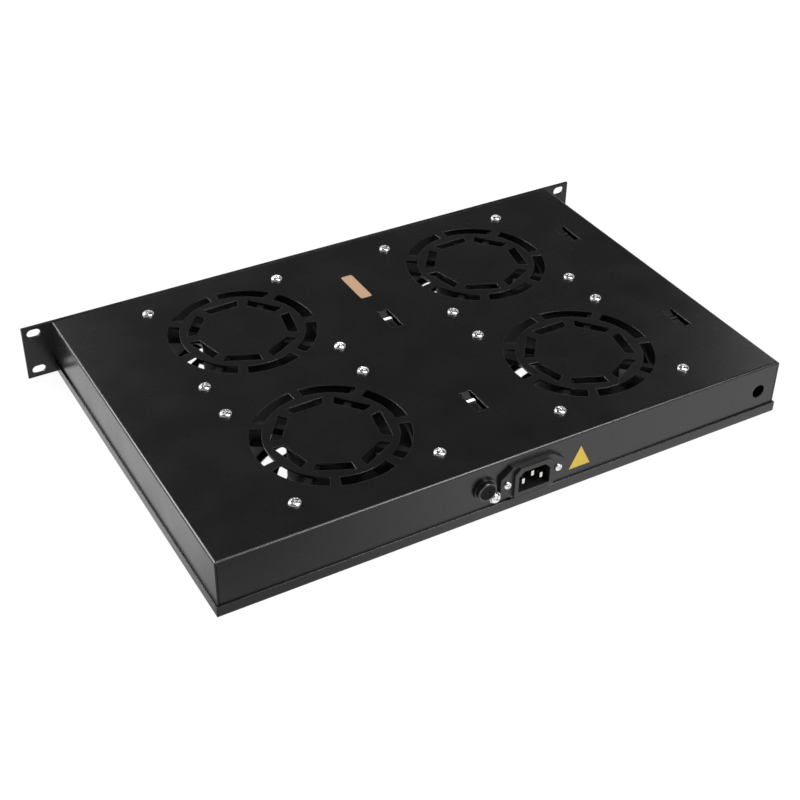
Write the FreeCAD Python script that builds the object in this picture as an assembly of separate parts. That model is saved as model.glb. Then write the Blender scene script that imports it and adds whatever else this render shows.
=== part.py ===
import FreeCAD, Part
import math
import os

# Rack fan tray, one rack unit high: a folded steel tray with four mains fans under ring
# grilles, a shallow bottom cover, a 19-inch front panel, a mains inlet and a fuse holder.
# Millimetres. Origin: centre of the rack slot pattern on the rear face of the ears.
# +X along the width, +Y to the rear, +Z up.

V = FreeCAD.Vector

# ---------------------------------------------------------------- driving dimensions
# fits
SEAT_GAP = 0.02  # between pieces pushed together
RUN_GAP = 0.05  # round a turning pin or shaft
COVER_GAP = 0.1  # between the tray walls and the cover flanges

# front panel
PANEL_W = 482.6
PANEL_H = 43.6
PANEL_T = 2.0
RACK_PITCH = 465.1
SLOT_PITCH = 31.75
SLOT_LENGTH = 10.3
SLOT_WIDTH = 6.8

# folded tray and cover
BODY_W = 437.4
BODY_D = 296.0
SHEET = 1.2
BEND = 0.6  # inside bend radius
LIP = 12.0
COVER_RIM = 8.8  # height of the cover flanges
SEAM = 0.4
SEAM_RELIEF = 3.0

# fans
FAN_PITCH_X = 200.0
FAN_PITCH_Y = 140.0
FAN_GRID_Y = 147.0
FAN_SIZE = 119.5
FAN_DEPTH = 38.0
FAN_HOLE_PITCH = 105.0
FAN_CORNER = 5.0
FAN_FLANGE = 4.0
FAN_BORE_R = 57.5
FAN_LAND = 0.25  # how far the round barrel stays inside the square flanges
STRUT_COUNT = 4
STRUT_W = 5.0
STRUT_H = 5.0
STRUT_RECESS = 1.0
STRUT_ROOT = 0.5  # strut buried in the hub seat
HUB_SEAT_R = 31.0
HUB_SEAT_H = 3.0
BEARING_R = 5.5
BEARING_H = 4.0
BEARING_WALL = 1.5
BEARING_SPAN = 16.0  # between the two bearings
SHAFT_R = 2.0
STATOR_R = 22.0
STATOR_H = 10.0
COIL_R = 18.0
COIL_H = 1.6
COIL_DROP = 2.4  # hub seat to the upper coil face
ROTOR_R = 27.0
ROTOR_WALL = 1.5
ROTOR_H = 24.0
ROTOR_GAP = 1.4  # hub seat to the rim of the rotor cup
IMPELLER_WALL = 3.0
BLADE_COUNT = 5
BLADE_TIP_GAP = 1.2
BLADE_T = 2.0
BLADE_CAMBER = 3.0
BLADE_H = 25.0
BLADE_TOP = 12.0  # below the top of the fan
BLADE_ROOT_CHORD = 18.0
BLADE_TIP_CHORD = 44.0
BLADE_REST = (20.0, 20.0, 20.0, 20.0)  # where each rotor came to rest, degrees

# ring grilles, punched alike in the tray and the cover
GRILLE_COUNT = 7
GRILLE_TURN = 143.0
OUTER_IN_R = 46.0
OUTER_OUT_R = 54.5
OUTER_SPAN = 43.5
INNER_IN_R = 31.3
INNER_OUT_R = 38.6
INNER_SPAN = 40.0

# lanced bridges for cable ties: strip pressed below the sheet between two slits
BRIDGE_W = 6.0
BRIDGE_SLIT = 1.5
BRIDGE_DROP = 3.0
BRIDGE_RAMP = 5.0
BRIDGE_L = 24.0
BRIDGE_PLACES = ((-190.0, 73.0), (-190.0, 215.0), (-2.0, 114.5), (-2.0, 231.5))

# machine screws: shank radius, head radius, head height, nut width across flats, nut height
M3 = (1.5, 2.9, 2.0, 5.5, 2.4)
M4 = (2.0, 3.8, 2.4, 7.0, 3.2)
HOLE_PLAY = 0.2
RECESS_W = 0.9
RECESS_D = 1.1
FAN_SCREW_L = 14.0
INLET_SCREW_L = 12.0
EARTH_SCREW_L = 11.0
PANEL_SCREW_L = 8.0
COVER_SCREW_L = 5.0
PANEL_SCREW_X = (-208.0, 0.0, 208.0)
PANEL_SCREW_PITCH = 24.0
COVER_SIDE_Y = (30.0, 148.0, 266.0)
COVER_END_X = (-105.0, 105.0)

# mains inlet
INLET_X = -7.0
INLET_Z = 2.3
INLET_FLANGE_W = 50.0
INLET_FLANGE_H = 24.8
INLET_FLANGE_T = 3.0
INLET_FLANGE_CUT_X = 9.0
INLET_FLANGE_CUT_Z = 7.0
INLET_SCREW_PITCH = 40.0
INLET_COLLAR_W = 30.6
INLET_COLLAR_H = 22.6
INLET_COLLAR_T = 2.0
INLET_BODY_W = 27.0
INLET_BODY_H = 19.6
INLET_BODY_D = 20.0
INLET_MOUTH_W = 24.4
INLET_MOUTH_H = 16.4
INLET_MOUTH_D = 17.0
INLET_CHAMFER = 4.0
PIN_W = 2.0
PIN_H = 4.0
PIN_SPREAD = 7.0
PIN_RAISE = 4.0  # earth pin above the other two
PIN_DROP = 2.0  # live and neutral pins below the middle
PIN_SHY = 2.5  # pin tips behind the collar face
PIN_TAIL_T = 0.8
PIN_TAIL_L = 10.0

# fuse holder
FUSE_X = 29.0
FUSE_Z = 3.3
FUSE_FLANGE_R = 8.5
FUSE_FLANGE_T = 2.0
FUSE_TUBE_R = 6.2
FUSE_TUBE_L = 28.0
FUSE_END_WALL = 4.0
FUSE_NUT_AF = 15.0
FUSE_NUT_T = 3.0
CAP_R = 7.0
CAP_T = 8.0
CAP_EDGE = 1.0
CAP_STEM_R = 4.6
CAP_STEM_L = 8.0
CAP_SLOT_W = 1.4
CAP_SLOT_D = 1.4
LINK_R = 2.6
LINK_L = 20.0
LINK_CAP_L = 5.0
LINK_CAP_WALL = 0.2
LINK_SEAT = 4.5  # length of the link held in the cap
CONTACT_R = 3.0
CONTACT_T = 0.6
CONTACT_TAIL_R = 1.3
CONTACT_TAIL_L = 6.0
SIDE_RING_T = 0.9
SIDE_RING_L = 3.0
SIDE_TAB_W = 4.0

# earth screw, washer and ring terminal
EARTH_X = 20.5
EARTH_Z = -7.2
WASHER_R = 4.2
WASHER_T = 0.8
LUG_T = 0.8
LUG_W = 4.0
LUG_L = 8.0

# open cable hole in the rear wall
CABLE_HOLE_X = -203.0
CABLE_HOLE_Z = 1.3
CABLE_HOLE_R = 5.25

# rocker switch in the front panel
SWITCH_X = -189.0
SWITCH_BEZEL_W = 15.0
SWITCH_BEZEL_H = 21.0
SWITCH_BEZEL_T = 2.0
SWITCH_BODY_W = 12.9
SWITCH_BODY_H = 19.2
SWITCH_BODY_D = 14.0
SWITCH_CUT_GAP = 0.15
SWITCH_WELL_W = 10.2
SWITCH_WELL_H = 16.4
SWITCH_WELL_D = 8.0
ROCKER_SIDE_GAP = 0.3
ROCKER_H = 14.6
ROCKER_RISE = 4.4
ROCKER_DISH = 1.8
ROCKER_KEEL = 3.0
ROCKER_TILT = 9.0
ROCKER_PIN_R = 1.0
ROCKER_PIN_L = 0.9
ROCKER_SINK = 0.5  # pivot behind the front of the panel
TAB_PITCH = 6.0
TAB_W = 4.8
TAB_T = 0.8
TAB_L = 8.0

# terminal block and leads
BLOCK_W = 17.0
BLOCK_L = 34.0
BLOCK_H = 14.0
BLOCK_WAYS = 3
BLOCK_NECK = 1.5
BLOCK_SCREW_R = 1.6
LEAD_R = 1.2
FAN_LEAD_R = 1.6
TIE_T = 1.0
TIE_W = 2.5
TIE_HEAD = 4.0
TIE_GAP = 0.1

# labels
LABEL_T = 0.15
LABEL_W = 11.5
LABEL_L = 34.5
LABEL_X = -1.25
LABEL_Y = 63.3
TRIANGLE_W = 17.2
TRIANGLE_H = 17.1
TRIANGLE_X = -47.2
TRIANGLE_Z = -6.8

# ---------------------------------------------------------------- dependent dimensions
TOP = PANEL_H / 2
BOTTOM = -PANEL_H / 2
CEILING = TOP - SHEET  # underside of the top sheet, where the fans seat
COVER_TOP = BOTTOM + SHEET  # where the tray lips rest
REAR = BODY_D
REAR_IN = BODY_D - SHEET
SIDE = BODY_W / 2
SIDE_IN = SIDE - SHEET
BEND_OUT = BEND + SHEET
COVER_SIDE = SIDE + COVER_GAP + SHEET
COVER_REAR = REAR + COVER_GAP + SHEET
FAN_HALF = FAN_SIZE / 2
BARREL_R = FAN_HALF - FAN_LAND
FAN_CENTRES = tuple(
    V(sx * FAN_PITCH_X / 2, FAN_GRID_Y + sy * FAN_PITCH_Y / 2, 0)
    for sx in (-1, 1)
    for sy in (-1, 1)
)
HUB_FACE = CEILING - STRUT_RECESS - HUB_SEAT_H  # lower face of the fan's hub seat
BRIDGE_TOP = TOP - BRIDGE_DROP
BRIDGE_LOW = CEILING - BRIDGE_DROP
TIED_Z = BRIDGE_LOW - LEAD_R - TIE_GAP  # height of a lead tied to a bridge
PIN_LIVE = V(INLET_X + PIN_SPREAD, 0, INLET_Z - PIN_DROP)
PIN_NEUTRAL = V(INLET_X - PIN_SPREAD, 0, INLET_Z - PIN_DROP)
PIN_EARTH = V(INLET_X, 0, INLET_Z - PIN_DROP + PIN_RAISE)
INLET_BACK = REAR + INLET_FLANGE_T - INLET_BODY_D - INLET_FLANGE_T
PIN_TAIL_END = INLET_BACK - PIN_TAIL_L
COLLAR_FACE = REAR + INLET_FLANGE_T + INLET_COLLAR_T
FUSE_FACE = REAR + FUSE_FLANGE_T
FUSE_BACK = REAR - FUSE_TUBE_L
FUSE_FLOOR = FUSE_BACK + FUSE_END_WALL
LINK_OUT = FUSE_FACE - CAP_STEM_L + LINK_SEAT
LINK_IN = LINK_OUT - LINK_L
SWITCH_BACK = SWITCH_BODY_D
TAB_END = SWITCH_BACK + TAB_L
BLOCK_FRONT = FAN_GRID_Y - BLOCK_L / 2
BLOCK_REAR = FAN_GRID_Y + BLOCK_L / 2
BLOCK_WIRE_Z = CEILING - BLOCK_H / 2


# ---------------------------------------------------------------- helpers
def block(x0, x1, y0, y1, z0, z1):
    """Box between two corners."""
    return Part.makeBox(x1 - x0, y1 - y0, z1 - z0, V(x0, y0, z0))


def rod(radius, start, end):
    """Cylinder between two points."""
    axis = end.sub(start)
    return Part.makeCylinder(radius, axis.Length, start, axis)


def cone(start_radius, end_radius, start, end):
    """Cone between two points."""
    axis = end.sub(start)
    return Part.makeCone(start_radius, end_radius, axis.Length, start, axis)


def ring(outer, inner, start, end):
    """Round tube between two points."""
    return rod(outer, start, end).cut(rod(inner, start, end))


def prism(points, along):
    """Polygon pushed along a vector."""
    wire = Part.makePolygon(list(points) + [points[0]])
    return Part.Face(wire).extrude(along)


def revolve_z(points, centre):
    """Half outline of (radius, height) points turned about a vertical axis at centre."""
    outline = [V(centre.x + r, centre.y, centre.z + h) for r, h in points]
    face = Part.Face(Part.makePolygon(outline + [outline[0]]))
    return face.revolve(centre, V(0, 0, 1), 360)


def fused(shapes):
    """One solid from several that touch."""
    return shapes[0].multiFuse(shapes[1:]).removeSplitter()


def polar(centre, radius, degrees, z):
    """Point on a circle round a vertical axis."""
    angle = math.radians(degrees)
    return V(centre.x + radius * math.cos(angle), centre.y + radius * math.sin(angle), z)


def hex_nut(start, along, thread_r, across, height):
    """Hexagon nut with its bearing face at start, growing along a unit vector."""
    side = V(0, 0, 1) if abs(along.z) < 0.5 else V(1, 0, 0)
    other = along.cross(side)
    corner = across / math.sqrt(3)
    points = []
    for step in range(6):
        angle = math.radians(60 * step)
        offset = side * (corner * math.cos(angle)) + other * (corner * math.sin(angle))
        points.append(start + offset)
    end = start + along * height
    return prism(points, along * height).cut(rod(thread_r + SEAT_GAP, start, end))


def pan_screw(seat, along, size, length):
    """Pan-head screw: head above the seat, shank running along a unit vector."""
    shank_r, head_r, head_h = size[:3]
    rim = head_h * 0.45
    crown = head_r * 0.55
    top = seat - along * head_h
    head = rod(head_r, seat, seat - along * rim)
    dome = cone(head_r, crown, seat - along * rim, top)
    screw = fused([head, dome, rod(shank_r, seat, seat + along * length)])
    side = V(0, 0, 1) if abs(along.z) < 0.5 else V(1, 0, 0)
    for arm in (side, along.cross(side)):
        across = arm.cross(along) * (RECESS_W / 2)
        reach = arm * (crown * 0.85)
        corners = [top - reach - across, top + reach - across, top + reach + across, top - reach + across]
        screw = screw.cut(prism(corners, along * RECESS_D))
    return screw


def flush_screw(face, along, size, length, depth):
    """Countersunk screw: flush with face, cone as deep as the plate, shank beyond it."""
    shank_r, head_r = size[:2]
    head = cone(head_r, shank_r, face, face + along * depth)
    return fused([head, rod(shank_r, face + along * depth, face + along * length)])


def flush_hole(face, along, size, depth):
    """Countersink that takes a flush screw's head."""
    shank_r, head_r = size[:2]
    return cone(head_r + SEAT_GAP, shank_r + SEAT_GAP, face, face + along * depth)


def lead(points, radius):
    """Round lead of straight runs joined by tangent arcs."""
    edges = []
    here = points[0]
    for before, corner, after in zip(points, points[1:], points[2:]):
        back = before - corner
        ahead = after - corner
        turn = math.pi - back.getAngle(ahead)
        reach = 0.45 * min(back.Length, ahead.Length)
        back.normalize()
        ahead.normalize()
        entry = corner + back * reach
        leave = corner + ahead * reach
        bisector = back + ahead
        bisector.normalize()
        bend_r = reach / math.tan(turn / 2)
        middle = corner + bisector * (bend_r / math.cos(turn / 2) - bend_r)
        edges.append(Part.LineSegment(here, entry).toShape())
        edges.append(Part.Arc(entry, middle, leave).toShape())
        here = leave
    edges.append(Part.LineSegment(here, points[-1]).toShape())
    path = Part.Wire(edges)
    first = points[1] - points[0]
    section = Part.Face(Part.Wire(Part.Circle(points[0], first, radius).toShape()))
    return path.makePipe(section)


def save(name, *solids):
    """Write one sub-part."""
    shape = solids[0] if len(solids) == 1 else Part.makeCompound(list(solids))
    shape.exportStep(os.path.join("parts", name + ".step"))


# ---------------------------------------------------------------- folded sheet metal
def arc_slot(centre, middle, z0, z1):
    """Curved outer slot of a ring grille."""
    start = middle - OUTER_SPAN / 2
    end = middle + OUTER_SPAN / 2
    far = [polar(centre, OUTER_OUT_R, a, z0) for a in (start, middle, end)]
    near = [polar(centre, OUTER_IN_R, a, z0) for a in (end, middle, start)]
    edges = [
        Part.Arc(*far).toShape(),
        Part.LineSegment(far[2], near[0]).toShape(),
        Part.Arc(*near).toShape(),
        Part.LineSegment(near[2], far[0]).toShape(),
    ]
    return Part.Face(Part.Wire(edges)).extrude(V(0, 0, z1 - z0))


def flat_slot(centre, middle, z0, z1):
    """Straight inner slot of a ring grille, with ends that point at the centre."""
    half = INNER_SPAN / 2
    near = INNER_IN_R / math.cos(math.radians(half))
    far = INNER_OUT_R / math.cos(math.radians(half))
    corners = [
        polar(centre, near, middle - half, z0),
        polar(centre, far, middle - half, z0),
        polar(centre, far, middle + half, z0),
        polar(centre, near, middle + half, z0),
    ]
    return prism(corners, V(0, 0, z1 - z0))


def grille_cutters(z0, z1):
    """Slots of all four ring grilles through a sheet between two heights."""
    cutters = []
    pitch = 360 / GRILLE_COUNT
    for centre in FAN_CENTRES:
        for index in range(GRILLE_COUNT):
            turn = GRILLE_TURN + index * pitch
            cutters.append(arc_slot(centre, turn, z0, z1))
            cutters.append(flat_slot(centre, turn + pitch / 2, z0, z1))
    return cutters


def fan_hole_places():
    """Centres of the sixteen fan screws."""
    half = FAN_HOLE_PITCH / 2
    return [c + V(sx * half, sy * half, 0) for c in FAN_CENTRES for sx in (-1, 1) for sy in (-1, 1)]


def folded_shell(x_half, y0, y1, z0, z1, radius, edges_at):
    """Box whose long edges are rounded where two neighbouring walls are folded."""
    solid = block(-x_half, x_half, y0, y1, z0, z1)
    chosen = []
    for edge in solid.Edges:
        middle = edge.CenterOfMass
        flat = abs(edge.Vertexes[0].Z - edge.Vertexes[1].Z) < 1e-6
        if flat and edges_at(middle):
            chosen.append(edge)
    return solid.makeFillet(radius, chosen)


def bridge_strip(x, y):
    """Pressed strip of a tie bridge: ramp down, flat run, ramp up."""
    y0 = y - BRIDGE_L / 2
    y1 = y + BRIDGE_L / 2
    outline = [
        (y0, TOP), (y0 + BRIDGE_RAMP, BRIDGE_TOP), (y1 - BRIDGE_RAMP, BRIDGE_TOP), (y1, TOP),
        (y1, CEILING), (y1 - BRIDGE_RAMP, BRIDGE_LOW), (y0 + BRIDGE_RAMP, BRIDGE_LOW), (y0, CEILING),
    ]
    points = [V(x - BRIDGE_W / 2, py, pz) for py, pz in outline]
    return prism(points, V(BRIDGE_W, 0, 0))


def inlet_cutout(y0, y1, play):
    """Opening in the rear wall for the inlet's inner body."""
    half_w = INLET_BODY_W / 2 + play
    half_h = INLET_BODY_H / 2 + play
    return block(INLET_X - half_w, INLET_X + half_w, y0, y1, INLET_Z - half_h, INLET_Z + half_h)


def panel_screw_places():
    """Axes of the screws that hold the panel to the tray."""
    half = PANEL_SCREW_PITCH / 2
    return [V(x, 0, s * half) for x in PANEL_SCREW_X for s in (-1, 1)]


def cover_screw_places():
    """Axes of the cover screws, in the middle of the tray lips."""
    side = SIDE - LIP / 2
    places = [V(s * side, y, 0) for s in (-1, 1) for y in COVER_SIDE_Y]
    places += [V(x, y, 0) for x in COVER_END_X for y in (LIP / 2, REAR - LIP / 2)]
    return places


def chassis_tray():
    """Tray folded from one sheet: top, four walls and inward lips at the bottom."""
    outer = folded_shell(SIDE, 0, REAR, COVER_TOP, TOP, BEND_OUT, lambda m: True)
    inner = folded_shell(
        SIDE_IN, SHEET, REAR_IN, COVER_TOP + SHEET, CEILING, BEND, lambda m: True
    )
    tray = outer.cut(inner)
    cutters = [block(LIP - SIDE, SIDE - LIP, LIP, REAR - LIP, COVER_TOP - 1, COVER_TOP + SHEET + 1)]
    cutters += grille_cutters(CEILING - 1, TOP + 1)
    for place in fan_hole_places():
        low = V(place.x, place.y, CEILING - 1)
        cutters.append(rod(M4[0] + HOLE_PLAY, low, V(place.x, place.y, TOP + 1)))
    half = BRIDGE_W / 2 + BRIDGE_SLIT
    for x, y in BRIDGE_PLACES:
        y0 = y - BRIDGE_L / 2
        cutters.append(block(x - half, x + half, y0, y0 + BRIDGE_L, CEILING - 1, TOP + 1))
    seam_top = TOP - SEAM_RELIEF
    for side in (-SIDE_IN, SIDE_IN - SEAM):
        for wall in (0, REAR_IN):
            cutters.append(block(side, side + SEAM, wall, wall + SHEET, COVER_TOP + SHEET, seam_top))
    cutters.append(inlet_cutout(REAR_IN - 1, REAR + 1, HOLE_PLAY))
    holes = [(INLET_X - INLET_SCREW_PITCH / 2, INLET_Z, M3[0] + HOLE_PLAY)]
    holes.append((INLET_X + INLET_SCREW_PITCH / 2, INLET_Z, M3[0] + HOLE_PLAY))
    holes.append((FUSE_X, FUSE_Z, FUSE_TUBE_R + HOLE_PLAY))
    holes.append((EARTH_X, EARTH_Z, M4[0] + HOLE_PLAY))
    holes.append((CABLE_HOLE_X, CABLE_HOLE_Z, CABLE_HOLE_R))
    for x, z, radius in holes:
        cutters.append(rod(radius, V(x, REAR_IN - 1, z), V(x, REAR + 1, z)))
    for place in panel_screw_places():
        cutters.append(rod(M4[0] + HOLE_PLAY, place - V(0, 1, 0), place + V(0, SHEET + 1, 0)))
    switch_w = SWITCH_BODY_W / 2 + 1
    switch_h = SWITCH_BODY_H / 2 + 1
    cutters.append(block(SWITCH_X - switch_w, SWITCH_X + switch_w, -1, SHEET + 1, -switch_h, switch_h))
    for place in cover_screw_places():
        low = V(place.x, place.y, COVER_TOP - 1)
        cutters.append(rod(M3[0] + SEAT_GAP, low, low + V(0, 0, SHEET + 2)))
    tray = tray.cut(Part.makeCompound(cutters))
    strips = [bridge_strip(x, y) for x, y in BRIDGE_PLACES]
    return tray.multiFuse(strips)


def bottom_cover():
    """Shallow lid whose flanges stand outside the side and rear walls."""
    rim = BOTTOM + COVER_RIM
    keep = BEND_OUT * 2
    outer = folded_shell(
        COVER_SIDE, 0, COVER_REAR, BOTTOM, rim + keep, BEND_OUT,
        lambda m: m.z < BOTTOM + 1e-3 and m.y > 1,
    )
    inner = folded_shell(
        COVER_SIDE - SHEET, -keep, COVER_REAR - SHEET, COVER_TOP, rim + keep, BEND,
        lambda m: m.z < COVER_TOP + 1e-3 and m.y > 0,
    )
    cover = outer.cut(inner)
    above = block(-PANEL_W, PANEL_W, -1, COVER_REAR + 1, rim, rim + 2 * keep)
    cutters = [above] + grille_cutters(BOTTOM - 1, COVER_TOP + 1)
    for side in (-COVER_SIDE, COVER_SIDE - SHEET):
        low = COVER_REAR - SHEET - SEAM
        cutters.append(block(side, side + SHEET, low, low + SEAM, COVER_TOP + SHEET, rim))
    for place in cover_screw_places():
        cutters.append(flush_hole(V(place.x, place.y, BOTTOM), V(0, 0, 1), M3, SHEET))
    return cover.cut(Part.makeCompound(cutters))


def front_panel():
    """Rack panel with two horizontal slots per ear and the switch cut-out."""
    panel = block(-PANEL_W / 2, PANEL_W / 2, -PANEL_T, 0, BOTTOM, TOP)
    cutters = []
    run = (SLOT_LENGTH - SLOT_WIDTH) / 2
    for x in (-RACK_PITCH / 2, RACK_PITCH / 2):
        for z in (-SLOT_PITCH / 2, SLOT_PITCH / 2):
            ends = [V(x + s * run, -PANEL_T - 1, z) for s in (-1, 1)]
            depth = V(0, PANEL_T + 2, 0)
            half = SLOT_WIDTH / 2
            middle = block(x - run, x + run, -PANEL_T - 1, 1, z - half, z + half)
            round_ends = [rod(half, end, end + depth) for end in ends]
            cutters.append(fused([middle] + round_ends))
    for place in panel_screw_places():
        cutters.append(flush_hole(place - V(0, PANEL_T, 0), V(0, 1, 0), M4, PANEL_T))
    half_w = SWITCH_BODY_W / 2 + SWITCH_CUT_GAP
    half_h = SWITCH_BODY_H / 2 + SWITCH_CUT_GAP
    cutters.append(
        block(SWITCH_X - half_w, SWITCH_X + half_w, -PANEL_T - 1, 1, -half_h, half_h)
    )
    return panel.cut(Part.makeCompound(cutters))


# ---------------------------------------------------------------- fans
# Each fan piece is modelled on the vertical axis through the origin and then moved.
def square_plate(z0, z1):
    """Fan flange: square plate with rounded corners."""
    plate = block(-FAN_HALF, FAN_HALF, -FAN_HALF, FAN_HALF, z0, z1)
    upright = [e for e in plate.Edges if abs(e.Vertexes[0].Z - e.Vertexes[1].Z) > 1e-6]
    return plate.makeFillet(FAN_CORNER, upright)


def fan_frame():
    """Cast housing: two flanges, round barrel, struts, hub seat and bearing tube."""
    low = CEILING - FAN_DEPTH
    top = CEILING - STRUT_RECESS
    plates = [square_plate(CEILING - FAN_FLANGE, CEILING), square_plate(low, low + FAN_FLANGE)]
    barrel = rod(BARREL_R, V(0, 0, low), V(0, 0, CEILING))
    shell = fused(plates + [barrel]).cut(rod(FAN_BORE_R, V(0, 0, low), V(0, 0, CEILING)))
    strut_end = (FAN_BORE_R + BARREL_R) / 2
    pieces = [shell, rod(HUB_SEAT_R, V(0, 0, HUB_FACE), V(0, 0, top))]
    for index in range(STRUT_COUNT):
        strut = block(HUB_SEAT_R - STRUT_ROOT, strut_end, -STRUT_W / 2, STRUT_W / 2, top - STRUT_H, top)
        turn = 45 + index * 360 / STRUT_COUNT
        pieces.append(strut.rotate(V(0, 0, 0), V(0, 0, 1), turn))
    tube_low = HUB_FACE - BEARING_H - BEARING_SPAN
    pieces.append(rod(BEARING_R + BEARING_WALL, V(0, 0, tube_low), V(0, 0, HUB_FACE)))
    frame = fused(pieces)
    cutters = [rod(BEARING_R, V(0, 0, tube_low), V(0, 0, HUB_FACE + 1))]
    half = FAN_HOLE_PITCH / 2
    for sx in (-1, 1):
        for sy in (-1, 1):
            place = V(sx * half, sy * half, low)
            cutters.append(rod(M4[0] + HOLE_PLAY, place, place + V(0, 0, FAN_DEPTH)))
    return frame.cut(Part.makeCompound(cutters))


def fan_bearings():
    """Upper and lower shaft bearings in the tube."""
    upper = HUB_FACE - BEARING_H
    lower = upper - BEARING_SPAN
    return [
        ring(BEARING_R - SEAT_GAP, SHAFT_R + RUN_GAP, V(0, 0, z), V(0, 0, z + BEARING_H))
        for z in (upper, lower)
    ]


def fan_stator():
    """Slotted laminated core with a coil ring on each face."""
    inner = BEARING_R + BEARING_WALL + SEAT_GAP
    coil_top = HUB_FACE - COIL_DROP
    core_top = coil_top - COIL_H
    core = ring(STATOR_R, inner, V(0, 0, core_top - STATOR_H), V(0, 0, core_top))
    slot = block(COIL_R - 4, STATOR_R + 1, -1.5, 1.5, core_top - STATOR_H, core_top)
    slots = [slot.copy().rotate(V(0, 0, 0), V(0, 0, 1), 90 * i + 45) for i in range(4)]
    core = core.cut(Part.makeCompound(slots))
    coil_low = core_top - STATOR_H
    coils = [ring(COIL_R, inner, V(0, 0, core_top), V(0, 0, coil_top))]
    coils.append(ring(COIL_R, inner, V(0, 0, coil_low - COIL_H), V(0, 0, coil_low)))
    return [core] + coils


def fan_rotor():
    """Steel cup round the stator, with the shaft that turns in the bearings."""
    rim = HUB_FACE - ROTOR_GAP
    floor = rim - ROTOR_H
    cup = rod(ROTOR_R, V(0, 0, floor), V(0, 0, rim))
    hollow = rod(ROTOR_R - ROTOR_WALL, V(0, 0, floor + ROTOR_WALL), V(0, 0, rim))
    shaft = rod(SHAFT_R, V(0, 0, floor), V(0, 0, HUB_FACE - RUN_GAP))
    return cup.cut(hollow).fuse(shaft)


def blade_section(radius, chord):
    """Cambered blade outline on a plane square to the radius, low edge clockwise."""
    low = V(radius, -chord / 2, -BLADE_H / 2)
    high = V(radius, chord / 2, BLADE_H / 2)
    across = V(0, -BLADE_H, chord)
    across.normalize()
    upper = V(radius, 0, 0) + across * (BLADE_CAMBER + BLADE_T / 2)
    lower = V(radius, 0, 0) + across * (BLADE_CAMBER - BLADE_T / 2)
    return Part.Wire([Part.Arc(low, upper, high).toShape(), Part.Arc(high, lower, low).toShape()])


def fan_impeller(rest):
    """Hub cup with swept blades, pressed over the rotor cup."""
    rim = HUB_FACE - ROTOR_GAP
    floor = rim - ROTOR_H - SEAT_GAP - ROTOR_WALL
    bore = ROTOR_R + SEAT_GAP
    hub_r = ROTOR_R + IMPELLER_WALL
    tip_r = FAN_BORE_R - BLADE_TIP_GAP
    past_tip = FAN_BORE_R + 1
    middle_r = (bore + past_tip) / 2
    middle_chord = BLADE_ROOT_CHORD * 0.45 + BLADE_TIP_CHORD * 0.55
    sections = [blade_section(ROTOR_R - 1, BLADE_ROOT_CHORD)]
    sections.append(blade_section(middle_r, middle_chord))
    sections.append(blade_section(past_tip, BLADE_TIP_CHORD))
    blade = Part.makeLoft(sections, True, False)
    blade.translate(V(0, 0, CEILING - BLADE_TOP - BLADE_H / 2))
    pieces = [rod(hub_r, V(0, 0, floor), V(0, 0, rim))]
    for index in range(BLADE_COUNT):
        turn = rest + index * 360 / BLADE_COUNT
        pieces.append(blade.copy().rotate(V(0, 0, 0), V(0, 0, 1), turn))
    body = pieces[0].multiFuse(pieces[1:])
    body = body.common(rod(tip_r, V(0, 0, CEILING - FAN_DEPTH), V(0, 0, CEILING)))
    hollow = rod(bore, V(0, 0, floor + ROTOR_WALL), V(0, 0, CEILING))
    return body.cut(hollow)


def build_fans():
    """Four fans: housing, stator, bearings, rotor and impeller each."""
    frame = fan_frame()
    stator = fan_stator()
    bearings = fan_bearings()
    rotor = fan_rotor()
    for number, (centre, rest) in enumerate(zip(FAN_CENTRES, BLADE_REST), start=1):
        name = "fan_%d_" % number
        save(name + "frame", frame.translated(centre))
        save(name + "stator", *[piece.translated(centre) for piece in stator])
        save(name + "bearings", *[piece.translated(centre) for piece in bearings])
        save(name + "rotor", rotor.translated(centre))
        save(name + "impeller", fan_impeller(rest).translated(centre))


def build_fan_fixings():
    """Screws through the top sheet and the fan flanges, with their nuts."""
    down = V(0, 0, -1)
    screws = []
    nuts = []
    for place in fan_hole_places():
        seat = V(place.x, place.y, TOP)
        under = V(place.x, place.y, CEILING - FAN_FLANGE)
        screws.append(pan_screw(seat, down, M4, FAN_SCREW_L))
        nuts.append(hex_nut(under, down, M4[0], M4[3], M4[4]))
    save("fan_screws", *screws)
    save("fan_nuts", *nuts)


# ---------------------------------------------------------------- panel and cover fixings
def build_case_fixings():
    """Flush screws of the front panel and the cover, and the panel nuts."""
    back = V(0, 1, 0)
    up = V(0, 0, 1)
    screws = []
    nuts = []
    for place in panel_screw_places():
        screws.append(flush_screw(place - back * PANEL_T, back, M4, PANEL_SCREW_L, PANEL_T))
        nuts.append(hex_nut(place + back * SHEET, back, M4[0], M4[3], M4[4]))
    save("panel_screws", *screws)
    save("panel_nuts", *nuts)
    cover = []
    for place in cover_screw_places():
        cover.append(flush_screw(V(place.x, place.y, BOTTOM), up, M3, COVER_SCREW_L, SHEET))
    save("cover_screws", *cover)


# ---------------------------------------------------------------- mains inlet
def inlet_outline(half_w, half_h, chamfer, y):
    """Rectangle whose two upper corners are cut off."""
    corners = [(-half_w, -half_h), (half_w, -half_h), (half_w, half_h - chamfer)]
    corners += [(half_w - chamfer, half_h), (chamfer - half_w, half_h), (-half_w, half_h - chamfer)]
    return [V(INLET_X + x, y, INLET_Z + z) for x, z in corners]


def pin_solid(place, play, y0, y1):
    """Straight flat pin, or its hole when play is given."""
    half_w = PIN_W / 2 + play
    half_h = PIN_H / 2 + play
    return block(place.x - half_w, place.x + half_w, y0, y1, place.z - half_h, place.z + half_h)


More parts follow.
